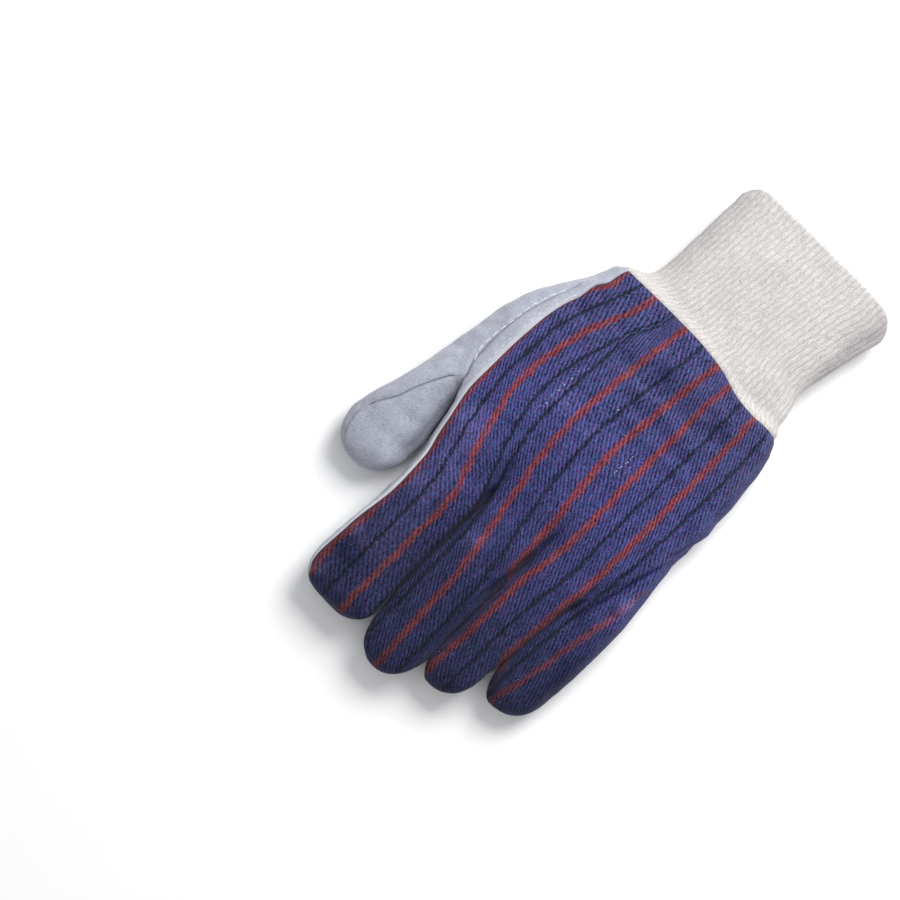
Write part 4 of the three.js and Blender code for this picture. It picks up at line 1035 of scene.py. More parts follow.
def new_piece(name, points, faces, material, slot, replaces=(), maps=None, values=None):
    """Makes a piece of the glove. "replaces" names the solid that it stands for."""
    mesh = bpy.data.meshes.new(name)
    mesh.from_pydata(((points - CENTRE) * MM).tolist(), [], [list(map(int, face)) for face in faces])
    mesh.shade_smooth()
    for map_name, places in (maps or {}).items():
        layer = mesh.uv_layers.new(name=map_name)
        layer.data.foreach_set("uv", np.ascontiguousarray(places, np.float32).reshape(-1))
    for value_name, numbers in (values or {}).items():
        attribute = mesh.attributes.new(value_name, "FLOAT", "POINT")
        attribute.data.foreach_set("value", np.ascontiguousarray(numbers, np.float32))
    mesh.materials.append(material)
    piece = add_object(name, mesh)
    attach(piece, "root")
    if replaces:
        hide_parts(*replaces)


def rim_pull(points, faces, rim):
    """At each point of a panel's rim, the direction from the rim into the panel."""
    edge_faces = {}
    for face_number, face in enumerate(faces):
        for a, b in zip(face, np.roll(face, -1)):
            edge_faces[(a, b)] = face_number
    centres = points[faces].mean(axis=1)
    pull = np.zeros_like(points)
    for a, b in rim:
        across = centres[edge_faces[(a, b)]] - (points[a] + points[b]) / 2
        edge = points[b] - points[a]
        across -= edge * (across @ edge) / max(edge @ edge, TINY)
        across /= max(np.linalg.norm(across), TINY)
        pull[a] += across
        pull[b] += across
    return pull / np.maximum(np.linalg.norm(pull, axis=1, keepdims=True), TINY)


def panel_mesh(points, faces, corner_places, normals, gap):
    """A panel as a closed wall: its skin, the same skin one wall further in, and the rim between them."""
    rim = rim_edges(faces)
    inset = points + gap[:, None] * rim_pull(points, faces, rim)
    used = np.unique(faces)
    count = len(used)
    outside = inset[used]
    inside = (inset - normals * WALL)[used]
    inside[:, 2] = np.maximum(inside[:, 2], LOWEST_INSIDE)

    number = np.full(len(points), -1)
    number[used] = np.arange(count)
    outer_faces = number[faces]
    start, end = number[rim].T
    strips = np.column_stack([start, start + count, end + count, end])
    all_faces = np.concatenate([outer_faces, outer_faces[:, ::-1] + count, strips])

    place_of = np.zeros((len(points), 2))
    place_of[faces.reshape(-1)] = corner_places.reshape(-1, 2)
    strip_places = place_of[np.column_stack([rim[:, 0], rim[:, 0], rim[:, 1], rim[:, 1]])]
    places = np.concatenate([corner_places, corner_places[:, ::-1], strip_places])
    return np.concatenate([outside, inside]), all_faces, places, used


def stripe_lines(y, shown):
    """Where each stripe lies at every y, and its place on the flat cloth."""
    lines = []
    for stripe in shown:
        path = np.array(stripe["path"], float)
        lines.append(along(path[:, 1], path[:, :1], y)[:, 0])
    lines = np.array(lines)
    for k in range(1, len(lines)):
        lines[k] = np.maximum(lines[k], lines[k - 1] + STRIPE_GAP)
    return lines, np.array([stripe["u"] for stripe in shown], float)


def stripe_places(places):
    """Moves places across the cloth so that every stripe has the same u all along it."""
    x, y = places.reshape(-1, 2).T
    lines, flat = stripe_lines(y, STRIPES)
    low_y, high_y = OUTER_STRIPE["y"]
    lines[0] -= OUTER_STRIPE["further"] * smoothstep(-y, -high_y, -low_y)
    k = np.clip((x[None] > lines).sum(axis=0) - 1, 0, len(STRIPES) - 2)
    every = np.arange(len(x))
    low, high = lines[k, every], lines[k + 1, every]
    # True distances beside each stripe, the rest stretched to fit.
    margin = np.minimum(STRIPE_MARGIN["most"], STRIPE_MARGIN["share"] * (high - low))
    t = (x - low - margin) / (high - low - 2 * margin)
    u = flat[k] + margin + t * (flat[k + 1] - flat[k] - 2 * margin)
    u = np.where(x - low < margin, flat[k] + x - low, u)
    u = np.where(high - x < margin, flat[k + 1] - (high - x), u)
    u = np.where(x < lines[0], flat[0] + x - lines[0], u)
    u = np.where(x > lines[-1], flat[-1] + x - lines[-1], u)
    beside, length = STRIPE_HIDDEN["beside"], STRIPE_HIDDEN["length"]
    for stripe in STRIPES:
        if "lost_beyond" in stripe:
            lost = smoothstep(y, stripe["lost_beyond"] - length, stripe["lost_beyond"] + length)
            moved = u + (stripe["u"] + beside - u) * lost
            u = np.where(np.abs(u - stripe["u"]) < beside, moved, u)
    return np.column_stack([u, y]).reshape(places.shape)


def weave_places(places):
    """Turns the weave with the stripes. Where cloth is taken up by a crease, it is missing just there."""
    x, y = places.reshape(-1, 2).T
    shown = [stripe for stripe in STRIPES if not stripe.get("pleat")]
    lines, flat = stripe_lines(y, shown)
    taken = TAKEN_UP["cloth"] * smoothstep(y, *TAKEN_UP["y"])

    def stretched(where):
        sides = sum(np.tanh((where - np.interp(y, *path)) / TAKEN_UP["width"]) for path in CREASE_PATHS)
        return where + taken * sides

    knots = np.array([stretched(line) for line in lines])
    here = stretched(x)
    k = np.clip((here[None] > knots).sum(axis=0) - 1, 0, len(shown) - 2)
    every = np.arange(len(x))
    t = np.clip((here - knots[k, every]) / (knots[k + 1, every] - knots[k, every]), 0, 1)
    offset = lines - flat[:, None]
    offset = offset[k, every] * (1 - t) + offset[k + 1, every] * t
    table_x = np.arange(WEAVE_WIDTH[0][0], WEAVE_WIDTH[-1][0] + 1.0)
    wider = np.interp(x, table_x, np.cumsum(table_at(WEAVE_WIDTH, table_x)))
    return np.column_stack([x - offset - wider, y]).reshape(places.shape)


# The knitted cuff

def closed_outline(points):
    """Functions of the share of the way round a closed outline: its point, and its outward direction."""
    loop = np.concatenate([points, points[:1]])
    length = run_length(loop)
    share = length / length[-1]
    tangent = np.roll(points, -1, axis=0) - np.roll(points, 1, axis=0)
    out = np.column_stack([-tangent[:, 2], np.zeros(len(points)), tangent[:, 0]])
    out /= np.maximum(np.linalg.norm(out, axis=1, keepdims=True), TINY)
    out = np.concatenate([out, out[:1]])

    def at(where, values):
        return np.column_stack([np.interp(where % 1, share, values[:, k]) for k in range(3)])

    return lambda where: at(where, loop), lambda where: at(where, out)


def cuff_outline():
    """The outline of the cuff's tube at the hem."""
    left, right, top, sole = CUFF["rows"][CUFF["hem_y"]]
    samples = 1440
    angle = np.pi - np.linspace(0, 2 * np.pi, samples, endpoint=False)
    power = 2 / CUFF["roundness"]
    x = (right - left) / 2 * np.sign(np.cos(angle)) * np.abs(np.cos(angle)) ** power
    z = (top - sole) / 2 * np.sign(np.sin(angle)) * np.abs(np.sin(angle)) ** power
    return closed_outline(np.column_stack([x, np.zeros_like(x), z]))


def wrist_outline():
    """The outline of the space inside the hand at the wrist."""
    spans = palm_spans(np.array([0.0]), True)
    loop = np.concatenate([points[0, :-1] for points in spans.values()])
    loop = np.roll(loop, -int(np.argmin(loop[:, 0])), axis=0)
    point, out = closed_outline(loop)
    inset = CUFF["clearance"] + WALL + 0.1
    return lambda where: point(where) - inset * out(where)


def cuff_rings():
    """Rows of the cuff's rings: distance below the seam, share of the way to the hem, depth and ribbing."""
    wall = CUFF["wall"]
    rows = [(-7, 0, 0.8, 0), (-3, 0, 0.3, 0), (-0.5, 0, 0, 0)]
    for share in np.linspace(0.006, 0.975, 66):
        rows.append((0, share, 0, 1 - 0.5 * smoothstep(share, 0.945, 0.975)))
    # Round the hem's fold, then up the inside.
    for angle in np.radians(np.linspace(12, 168, 9)):
        rows.append((0, 1 - 0.02 * (1 - math.sin(angle)), wall / 2 * (1 - math.cos(angle)), 0.25))
    rows += [(0, share, wall, 1) for share in np.linspace(0.96, 0.1, 30)]
    rows += [(4.6, 0, wall, 0), (-0.5, 0, wall, 0), (-7, 0, wall + 0.8, 0)]
    return rows


def hem_rise(sideways):
    """How far the hem draws back towards the cuff's sides."""
    rise = CUFF["hem_rise"]
    left = rise["left"] * np.abs(sideways) ** rise["left_power"]
    right = rise["right"] * np.abs(sideways) ** rise["right_power"]
    return np.where(sideways < 0, left, right)


def hem_hang(points, upward):
    """How far the upper layer hangs down towards the hem, at the little finger's side."""
    hang = CUFF["hang"]
    side = smoothstep(-points[:, 0], *hang["left"])
    near_hem = smoothstep(-points[:, 1], *hang["down"])
    return hang["most"] * (side * near_hem * smoothstep(upward, *hang["upward"]))


def cuff_painted_shade(sideways, upward, y):
    """Painted shade: greyest low on the little finger's side, towards the hem, and a little grey at the
    thumb's side.
    """
    little_side = smoothstep(-sideways, 0.78, 1.0)
    little_side += 0.4 * smoothstep(-sideways, 0.5, 0.8) * smoothstep(-y, 30, 55)
    thumb_side = 0.42 * smoothstep(sideways, 0.6, 0.92)
    grey = np.minimum(little_side, 1) * smoothstep(-y, 10, 36) + thumb_side * smoothstep(-y, 4, 24)
    return 0.5 + 0.5 * grey * (upward > -0.3)


def rib_valley(number, knit, band):
    """How deep each point of a ring lies below its rib's top."""
    part = (number % CUFF["points_per_rib"] + 0.5) / CUFF["points_per_rib"]
    ridge = 0.7 * np.abs(np.sin(np.pi * part)) ** 0.7 + 0.3 * np.abs(np.sin(2 * np.pi * part)) ** 0.8
    strength = np.clip(unevenness(knit, RIB_STRENGTH, USUAL_STRENGTH), *STRENGTH_LIMITS)
    return CUFF["rib_height"] * (1 - ridge) * (0.12 + 0.88 * band) * strength


def tube_points(sideways, upward, y):
    """Points of the cuff's tube at every y."""
    left, right, top, sole = along(list(CUFF["rows"]), list(CUFF["rows"].values()), y).T
    x = (left + right) / 2 + sideways * (right - left) / 2
    z = (top + sole) / 2 + upward * (top - sole) / 2
    return np.column_stack([x, y, z])


def cuff_ring(row, number, outlines):
    """One ring of the cuff, and the painted shade on it."""
    below, share, depth, ribbing = row
    outline, outward, wrist = outlines
    around = len(number)
    point_width = 0.16
    knit = [number * point_width, np.full(around, share * CUFF["length"]), np.full(around, depth)]
    knit = np.column_stack(knit)
    sway = unevenness(knit, RIB_SWAY)
    where = (number + sway * CUFF["points_per_rib"] * SWAY_RIBS) / around
    base = outline(where)
    left, right, top, sole = CUFF["rows"][CUFF["hem_y"]]
    sideways = base[:, 0] / ((right - left) / 2)
    upward = base[:, 2] / ((top - sole) / 2)
    # The ring's shape turns from the hand's at the wrist into the tube's.
    seam = wrist(where)
    seam_y = seam[:, 1].copy()
    y = seam_y - below + share * (CUFF["hem_y"] + hem_rise(sideways) - seam_y)
    seam[:, 1] = y
    under = seam_y - y
    turned = smoothstep(under, *CUFF["flare"])[:, None]
    points = seam * (1 - turned) + tube_points(sideways, upward, y) * turned
    soft = unevenness(points, KNIT_LUMPS) * turned[:, 0]
    plain = CUFF["plain_band"]
    band = smoothstep(under, plain - 0.6, plain + 1.2) * ribbing
    lip = CUFF["lip"]
    from_lip = (under - plain + lip["before"]) / lip["half_width"]
    raised = lip["height"] * np.exp(-(from_lip**2)) * ribbing
    points = points + outward(where) * (soft + raised - depth - rib_valley(number, knit, band))[:, None]
    points[:, 2] -= hem_hang(points, upward)
    points[:, 2] = np.maximum(points[:, 2], 0.02 + depth * 0.5)
    return points, cuff_painted_shade(sideways, upward, y)


def cuff_faces_and_places(rings, places):
    """Faces between the rings, and each face corner's place on the knit."""
    around = rings.shape[1]
    number = np.arange(around)
    # The last ring joins the first, and so does the last point of a ring.
    here = np.arange(len(rings))[:, None] * around
    there = np.roll(here, -1, axis=0)
    following = np.roll(number, -1)
    faces = np.stack([here + number, there + number, there + following, here + following], axis=-1)
    here = np.array(places)
    last_step = (0, 1.5)
    there = np.concatenate([here[1:], here[-1:] + last_step])
    once_round = np.where(following == 0, CUFF["ribs"], 0)[:, None] * np.array([1.0, 0.0])
    corners = [here, there, there[:, following] + once_round, here[:, following] + once_round]
    return faces.reshape(-1, 4), np.stack(corners, axis=2)


def build_cuff():
    """The doubled tube of ribbed knit: its points, faces, places on the knit and painted shade."""
    number = np.arange(CUFF["ribs"] * CUFF["points_per_rib"])
    outlines = (*cuff_outline(), wrist_outline())
    rings = []
    places = []
    marks = []
    travelled = 0.0
    for row in cuff_rings():
        points, cuff_shade = cuff_ring(row, number, outlines)
        if rings:
            travelled += np.linalg.norm(points - rings[-1], axis=1).mean()
        rings.append(points)
        places.append(np.column_stack([number / CUFF["points_per_rib"], np.full(len(number), travelled)]))
        marks.append(cuff_shade)
    rings = np.array(rings)
    faces, knit_places = cuff_faces_and_places(rings, places)
    return rings.reshape(-1, 3), faces, {"knit": knit_places}, {"marks": np.concatenate(marks)}


# Sewing thread and lint

# Stitched lines seen from above: path, stitch length, gap, thread radius (mm).
THREADS = (
    {"path": ((60, 22.5), (62.3, 27), (64.3, 33), (65.6, 37), (66.6, 45), (67.6, 52), (68.4, 60), (68.3, 66),
              (66.3, 71.5)), "stitch": 3.4, "gap": 0.9, "radius": 0.27},
    {"path": ((55.6, 21), (58.4, 28), (60.6, 36), (61.8, 46), (62.3, 58), (62, 70)),
     "stitch": 2.2, "gap": 2.0, "radius": 0.16},
)
STITCH_STEPS = 8


def on_surface(x, y, surface):
    """The point of the surface that shows at (x, y), and its normal; nothing where there is no surface."""
    slant = VIEW["slant"]
    shift = slant * (VIEW["from"] - VIEW["height"])
    start = Vector((x - shift, y + shift, VIEW["from"]))
    place, normal, _, _ = surface.ray_cast(start, Vector((slant, -slant, -1)).normalized())
    if place is None:
        return None
    return np.array(place), np.array(normal)


def surface_path(path, surface, spacing):
    """Points and normals of the surface along a path."""
    path = np.array(path, float)
    length = run_length(path)
    where = np.arange(0, length[-1], spacing)
    found = [on_surface(x, y, surface) for x, y in along(length, path, where)]
    return [pair for pair in found if pair is not None]


def tube(points, normals, radii, sides=6):
    """A round thread along points; radii at each point."""
    tangent = np.gradient(points, axis=0)
    tangent /= np.linalg.norm(tangent, axis=1, keepdims=True)
    side = np.cross(tangent, normals)
    side /= np.linalg.norm(side, axis=1, keepdims=True)
    up = np.cross(side, tangent)
    angle = np.linspace(0, 2 * np.pi, sides, endpoint=False)
    ring = np.cos(angle)[None, :, None] * side[:, None] + np.sin(angle)[None, :, None] * up[:, None]
    vertices = (points[:, None] + ring * radii[:, None, None]).reshape(-1, 3)
    faces = []
    for k in range(len(points) - 1):
        here, there = k * sides, (k + 1) * sides
        for n in range(sides):
            m = (n + 1) % sides
            faces.append((here + n, here + m, there + m, there + n))
    return vertices, faces


def merged(parts):
    """Several meshes as one."""
    faces = []
    base = 0
    for points, strips in parts:
        faces += [tuple(base + n for n in strip) for strip in strips]
        base += len(points)
    return np.concatenate([points for points, _ in parts]), faces


def build_threads(surface):
    """Stitches, each a short thread that dives into the leather at both ends."""
    parts = []
    for thread in THREADS:
        radius = thread["radius"]
        spacing = thread["stitch"] / STITCH_STEPS
        found = surface_path(thread["path"], surface, spacing)
        period = round((thread["stitch"] + thread["gap"]) / spacing)
        for start in range(0, len(found) - STITCH_STEPS - 1, period):
            stitch = found[start : start + STITCH_STEPS + 1]
            points = np.array([place for place, _ in stitch])
            normals = np.array([normal for _, normal in stitch])
            t = np.linspace(-1, 1, len(stitch))
            # Its middle lies on the leather, its ends sink in and taper.
            points = points + normals * (radius * (1.3 * (1 - t**4) - 0.9))[:, None]
            parts.append(tube(points, normals, radius * np.sqrt(np.clip(1.05 - t**6, 0.05, 1))))
    return merged(parts)


# Slub knots of white cotton in the cloth: (x, y) of the first, (x, y) of the last, count, radius (mm).
SLUBS = (
    ((32, 48), (32.4, 62.1), 5, 0.34),
    ((30.4, 40), (31.8, 45), 4, 0.18),
    ((33.2, 52), (33.7, 68.6), 6, 0.16),
    ((-9.8, 53), (-9.0, 63), 8, 0.24),
    ((8.7, 43.3), (8.7, 43.3), 1, 0.3),
    ((-12.4, 57), (-11.8, 63), 3, 0.16),
)
SLUB_SPREAD = 0.3  # how far one lies off its row
SLUB_SIZES = (0.8, 1.1)  # of its radius
SLUB_LENGTHS = (2.6, 4.2)  # in radii
SLUB_TURN = 0.5  # how far it turns from the fingers' direction
SLUB_FLATNESS = 0.5  # none lies where the cloth is steeper
DUST = {"count": 110, "x": (-50, 52), "y": (6, 178), "radius": (0.07, 0.13)}  # smaller slubs anywhere


def build_slubs(surface):
    """Short thick bits of thread that lie in the cloth."""
    chance = np.random.default_rng(5)
    spots = []
    for (x0, y0), (x1, y1), count, radius in SLUBS:
        for t in np.linspace(0, 1, count):
            x = x0 + (x1 - x0) * t + chance.normal(0, SLUB_SPREAD)
            y = y0 + (y1 - y0) * t + chance.normal(0, SLUB_SPREAD)
            spots.append((x, y, radius * chance.uniform(*SLUB_SIZES)))
    for _ in range(DUST["count"]):
        spots.append([chance.uniform(*DUST[key]) for key in ("x", "y", "radius")])
    parts = []
    for x, y, radius in spots:
        length = radius * chance.uniform(*SLUB_LENGTHS)
        turn = chance.normal(0, SLUB_TURN)
        heading = np.array([math.sin(turn), math.cos(turn), 0.0])
        found = on_surface(x, y, surface)
        if found is None or found[1][2] < SLUB_FLATNESS:
            continue
        place, normal = found
        heading -= normal * (heading @ normal)
        t = np.linspace(-1, 1, 5)
        lift = radius * (0.5 - 0.5 * t**2)
        points = place + heading * (t * length / 2)[:, None] + normal * lift[:, None]
        normals = np.repeat(normal[None], len(t), axis=0)
        parts.append(tube(points, normals, radius * np.sqrt(1.05 - t**4), 5))
    return merged(parts)


# Materials

def linear(red, green, blue):
    """A colour as seen on a screen, 0 to 255, as the linear colour that the shaders take."""
    shares = [value / 255 for value in (red, green, blue)]
    return tuple(v / 12.92 if v <= 0.04045 else ((v + 0.055) / 1.055) ** 2.4 for v in shares) + (1.0,)


class Nodes:
    """Short ways to add the nodes of one material."""

    def __init__(self, name):
        self.material = bpy.data.materials.new(name)
        self.material.use_nodes = True
        self.tree = self.material.node_tree
        self.shader = next(n for n in self.tree.nodes if n.type == "BSDF_PRINCIPLED")

    def link(self, value, socket):
        if isinstance(value, bpy.types.NodeSocket):
            self.tree.links.new(value, socket)
        else:
            socket.default_value = value

    def add(self, kind, inputs=(), output=0, **settings):
        node = self.tree.nodes.new("ShaderNode" + kind)
        for key, value in settings.items():
            setattr(node, key, value)
        for key, value in dict(inputs).items():
            self.link(value, node.inputs[key])
        return node.outputs[output]

    def math(self, operation, *values, clamp=False):
        return self.add("Math", dict(enumerate(values)), operation=operation, use_clamp=clamp)

    def multiply(self, a, b):
        return self.math("MULTIPLY", a, b)

    def vary(self, value, by, amount, clamp=False):
        """The value, moved up and down by another one that is 0.5 on average."""
        return self.math("MULTIPLY_ADD", self.math("SUBTRACT", by, 0.5), amount, value, clamp=clamp)

    def wave(self, shape, turns):
        return self.math(shape, self.multiply(turns, 2 * math.pi))

    def uv(self, name):
        return self.add("UVMap", uv_map=name)

    def of_point(self, name):
        """A value that is kept with the mesh's points."""
        return self.add("Attribute", output=2, attribute_name=name)

    def place(self):
        """The place on the object, in metres."""
        return self.add("TexCoord", output=3)

    def split(self, vector):
        node = self.tree.nodes.new("ShaderNodeSeparateXYZ")
        self.link(vector, node.inputs[0])
        return node.outputs[0], node.outputs[1], node.outputs[2]

    def noise(self, vector, scale, detail=2.0, roughness=0.5, **settings):
        inputs = {"Vector": vector, "Scale": scale, "Detail": detail, "Roughness": roughness}
        return self.add("TexNoise", inputs, **settings)

    def flat_noise(self, vector, scale, detail=2.0, roughness=0.5):
        return self.noise(vector, scale, detail, roughness, noise_dimensions="2D")

    def step(self, value, low, high):
        """0 below low, 1 above high, smooth between; the other way round where low is above high."""
        inputs = {"Value": value, "From Min": low, "From Max": high}
        return self.add("MapRange", inputs, interpolation_type="SMOOTHSTEP")

    def mix(self, factor, a, b, blend="MIX"):
        node = self.tree.nodes.new("ShaderNodeMix")
        node.data_type = "RGBA"
        node.blend_type = blend
        self.link(factor, node.inputs[0])
        self.link(a, node.inputs[6])
        self.link(b, node.inputs[7])
        return node.outputs[2]

    def cover(self, mask, strength, colour, other):
        """The other colour where the mask is, as strongly as told."""
        return self.mix(self.multiply(mask, strength), colour, other)

    def tint(self, mask, colour, red, green, blue):
        """The colour times a tint where the mask is."""
        return self.mix(mask, colour, (red, green, blue, 1.0), "MULTIPLY")

    def bump(self, height, distance, strength):
        return self.add("Bump", {"Height": height, "Distance": distance, "Strength": strength})

    def finish(self, colour, roughness, normal, specular=0.2, sheen=0.0):
        self.link(colour, self.shader.inputs["Base Color"])
        self.link(roughness, self.shader.inputs["Roughness"])
        self.link(normal, self.shader.inputs["Normal"])
        self.link(specular, self.shader.inputs["Specular IOR Level"])
        self.link(sheen, self.shader.inputs["Sheen Weight"])
        return self.material


def band_mask(nodes, u, colour):
    """1 on the stripes of one colour, 0 elsewhere."""
    low, high = -70.0, 70.0
    ramp = nodes.tree.nodes.new("ShaderNodeValToRGB")
    nodes.link(nodes.add("MapRange", {"Value": u, "From Min": low, "From Max": high}), ramp.inputs[0])
    half = STRIPE_HALF_WIDTH[colour]
    stops = []
    for stripe in STRIPES:
        if stripe["colour"] == colour:
            stops += [(stripe["u"] - half - STRIPE_FADE, 0), (stripe["u"] - half, 1)]
            stops += [(stripe["u"] + half, 1), (stripe["u"] + half + STRIPE_FADE, 0)]
    elements = ramp.color_ramp.elements
    while len(elements) > 1:
        elements.remove(elements[-1])
    elements[0].position = 0
    elements[0].color = (0, 0, 0, 1)
    for place, value in sorted(stops):
        element = elements.new((place - low) / (high - low))
        element.color = (value, value, value, 1)
    return ramp.outputs[0]


# The twill's slanting lines: how far apart (mm), and how far they lean to the little finger's side.
TWILL = {"pitch": 1.62, "angle": math.radians(31)}
SHADE_AND_DIRT_LEVELS = (0.48, 0.95)  # values of a point's painted light and dirt between which it turns dark: painted shade, with dirt


def twill_ridge(nodes, weave, u, v):
    """1 on the twill's slanting lines, 0 between them."""
    across = nodes.multiply(u, math.cos(TWILL["angle"]) / TWILL["pitch"])
    turns = nodes.math("MULTIPLY_ADD", v, math.sin(TWILL["angle"]) / TWILL["pitch"], across)
    turns = nodes.vary(turns, nodes.flat_noise(weave, 0.045, 1.0), 1.0)
    turns = nodes.vary(turns, nodes.flat_noise(weave, 0.5, 1.0), 0.35)
    return nodes.math("MULTIPLY_ADD", nodes.wave("SINE", turns), 0.5, 0.5)


def twill_level(nodes, weave, v, ridge, grain, patches):
    """How light the yarn is. The weave's lines are clear in places and nearly lost in others."""
    clear = nodes.flat_noise(weave, 0.3, 3.0, 0.7)
    clear = nodes.math("MULTIPLY_ADD", clear, 2.6, -0.75, clamp=True)
    clear = nodes.math("MULTIPLY_ADD", nodes.step(v, 60.0, 115.0), -0.12, clear, clamp=True)
    strength = nodes.math("MULTIPLY_ADD", clear, 0.62, 0.24)
    streaks = nodes.add("Mapping", {"Vector": weave, "Scale": (1.1, 0.06, 1.0)})
    level = nodes.multiply(nodes.math("SUBTRACT", ridge, 0.5), strength)
    level = nodes.vary(level, grain, 0.62)
    level = nodes.vary(level, patches, 0.5)
    level = nodes.vary(level, nodes.flat_noise(streaks, 1.0, 2.0, 0.6), 0.6)
    return nodes.math("ADD", level, 0.44, clamp=True)


def yarn_colours(nodes, level, hue, v, patches):
    """Blue, red and black yarn, each from dark to light. Towards the fingertips all turn darker: dirt and
    wear, with painted shade of the fingers' downward slope.
    """
    purple = nodes.mix(level, linear(20, 14, 50), linear(100, 84, 156))
    steel = nodes.mix(level, linear(14, 21, 50), linear(70, 96, 156))
    blue = nodes.mix(nodes.step(hue, 0.3, 0.8), purple, steel)
    blue = nodes.tint(nodes.step(v, 60.0, 20.0), blue, 0.98, 0.97, 0.84)
    red = nodes.mix(level, linear(70, 18, 34), linear(168, 78, 76))
    black = nodes.mix(level, linear(7, 11, 20), linear(36, 44, 62))
    # Darker towards the fingertips: dirt and wear, with painted shade of the fingers' downward slope.
    fingertip_dirt_and_shade = nodes.step(nodes.vary(v, patches, 60.0), 70.0, 160.0)
    blue = nodes.tint(fingertip_dirt_and_shade, blue, 0.40, 0.42, 0.38)
    red = nodes.tint(fingertip_dirt_and_shade, red, 0.52, 0.6, 0.58)
    red = nodes.tint(nodes.step(v, 45.0, 25.0), red, 0.8, 0.86, 0.9)
    black = nodes.tint(fingertip_dirt_and_shade, black, 0.72, 0.7, 0.66)
    return blue, red, black


def cloth_material():
    nodes = Nodes("striped_twill")
    weave = nodes.uv("weave")
    u, v, _ = nodes.split(weave)
    ridge = twill_ridge(nodes, weave, u, v)
    # Ends of yarn, each lighter or darker, bluer or redder than the next.
    ends = nodes.add("TexVoronoi", {"Vector": weave, "Scale": 1.75}, "Color", voronoi_dimensions="2D")
    grain, hue, fine = nodes.split(ends)
    patches = nodes.flat_noise(weave, 0.11, 3.0, 0.6)
    level = twill_level(nodes, weave, v, ridge, grain, patches)
    blue, red, black = yarn_colours(nodes, level, hue, v, patches)

    # The stripes' yarns lie among the blue ones, so that a stripe shows as slanting dashes.
    stripe_u, _, _ = nodes.split(nodes.uv("stripes"))
    ragged = nodes.vary(stripe_u, nodes.flat_noise(weave, 0.16, 2.0, 0.6), 2.2)
    ragged = nodes.vary(ragged, ridge, 0.6)
    ragged = nodes.vary(ragged, fine, 0.8)
    dashes = nodes.math("MULTIPLY_ADD", fine, 0.35, 0.55)
    dashes = nodes.math("MULTIPLY_ADD", ridge, 0.3, dashes, clamp=True)
    # The outermost red stripe is faint, most of all where it comes over the little finger's side.
    faint = nodes.math("MULTIPLY_ADD", nodes.step(v, 116.0, 98.0), 0.45, 0.25)
    faint = nodes.multiply(nodes.step(stripe_u, -48.0, -51.0), faint)
    strong = nodes.multiply(dashes, nodes.math("SUBTRACT", 1.0, faint))
    colour = nodes.cover(band_mask(nodes, ragged, "red"), strong, blue, red)

    lint = nodes.step(nodes.flat_noise(weave, 2.6, 1.0), 0.74, 0.8)
    colour = nodes.cover(lint, 0.5, colour, linear(150, 152, 190))
    # Painted shade along the seams.
    seam_shade = nodes.step(nodes.of_point("seam"), 1.6, 0.2)
    colour = nodes.cover(seam_shade, 0.35, colour, linear(22, 20, 48))
    # Paler where the values fall below a half: painted highlights, with fading.
    marks = nodes.vary(nodes.of_point("marks"), patches, 0.25)
    faded_and_highlit = nodes.multiply(nodes.step(marks, 0.5, 0.2), 0.9)
    colour = nodes.tint(faded_and_highlit, colour, 2.0, 1.95, 1.85)
    colour = nodes.cover(faded_and_highlit, 0.15, colour, linear(140, 122, 166))
    colour = nodes.cover(band_mask(nodes, ragged, "black"), dashes, colour, black)
    # Darker where the values are high: painted shade in creases, hollows and on the fingers, with dirt.
    colour = nodes.tint(nodes.step(marks, *SHADE_AND_DIRT_LEVELS), colour, 0.22, 0.22, 0.40)

    height = nodes.math("MULTIPLY_ADD", ridge, 0.9, nodes.multiply(fine, 0.5))
    height = nodes.math("MULTIPLY_ADD", grain, 0.4, height)
    return nodes.finish(colour, 0.92, nodes.bump(height, 0.00024, 0.9), specular=0.18, sheen=0.06)


def leather_material():
    nodes = Nodes("split_suede")
    place = nodes.place()
    broad = nodes.noise(place, 38.0, 3.0, 0.55)
    mottle = nodes.noise(place, 210.0, 4.0, 0.62)
    # The nap is brushed from the little finger's side of the wrist to the thumb's tip.
    brushed = {"Vector": place, "Rotation": (0, 0, math.radians(45)), "Scale": (2.2, 0.8, 1.0)}
    nap = nodes.noise(nodes.add("Mapping", brushed, vector_type="TEXTURE"), 1700.0, 3.0, 0.7)
    level = nodes.vary(0.5, broad, 0.5)
    level = nodes.vary(level, mottle, 0.55)
    level = nodes.vary(level, nap, 1.4, clamp=True)
    colour = nodes.mix(level, linear(122, 126, 141), linear(194, 197, 208))
    edge = nodes.of_point("cut_edge")
    colour = nodes.cover(edge, 0.85, colour, linear(202, 204, 212))
    # Painted shade along the seams, except on the pale cut edge.
    seam_shade = nodes.step(nodes.of_point("seam"), 1.0, 0.1)
    dark = nodes.multiply(seam_shade, nodes.math("SUBTRACT", 1.0, edge))
    colour = nodes.cover(dark, 0.25, colour, linear(84, 88, 102))
    # Darker where the values are high: painted shade on the thumb beside the index finger and in the creases,
    # with dirt.
    colour = nodes.tint(nodes.step(nodes.of_point("marks"), *SHADE_AND_DIRT_LEVELS), colour, 0.2, 0.21, 0.26)
    height = nodes.math("MULTIPLY_ADD", mottle, 0.8, nodes.multiply(nap, 0.8))
    return nodes.finish(colour, 0.95, nodes.bump(height, 0.0003, 0.8), specular=0.12, sheen=0.2)


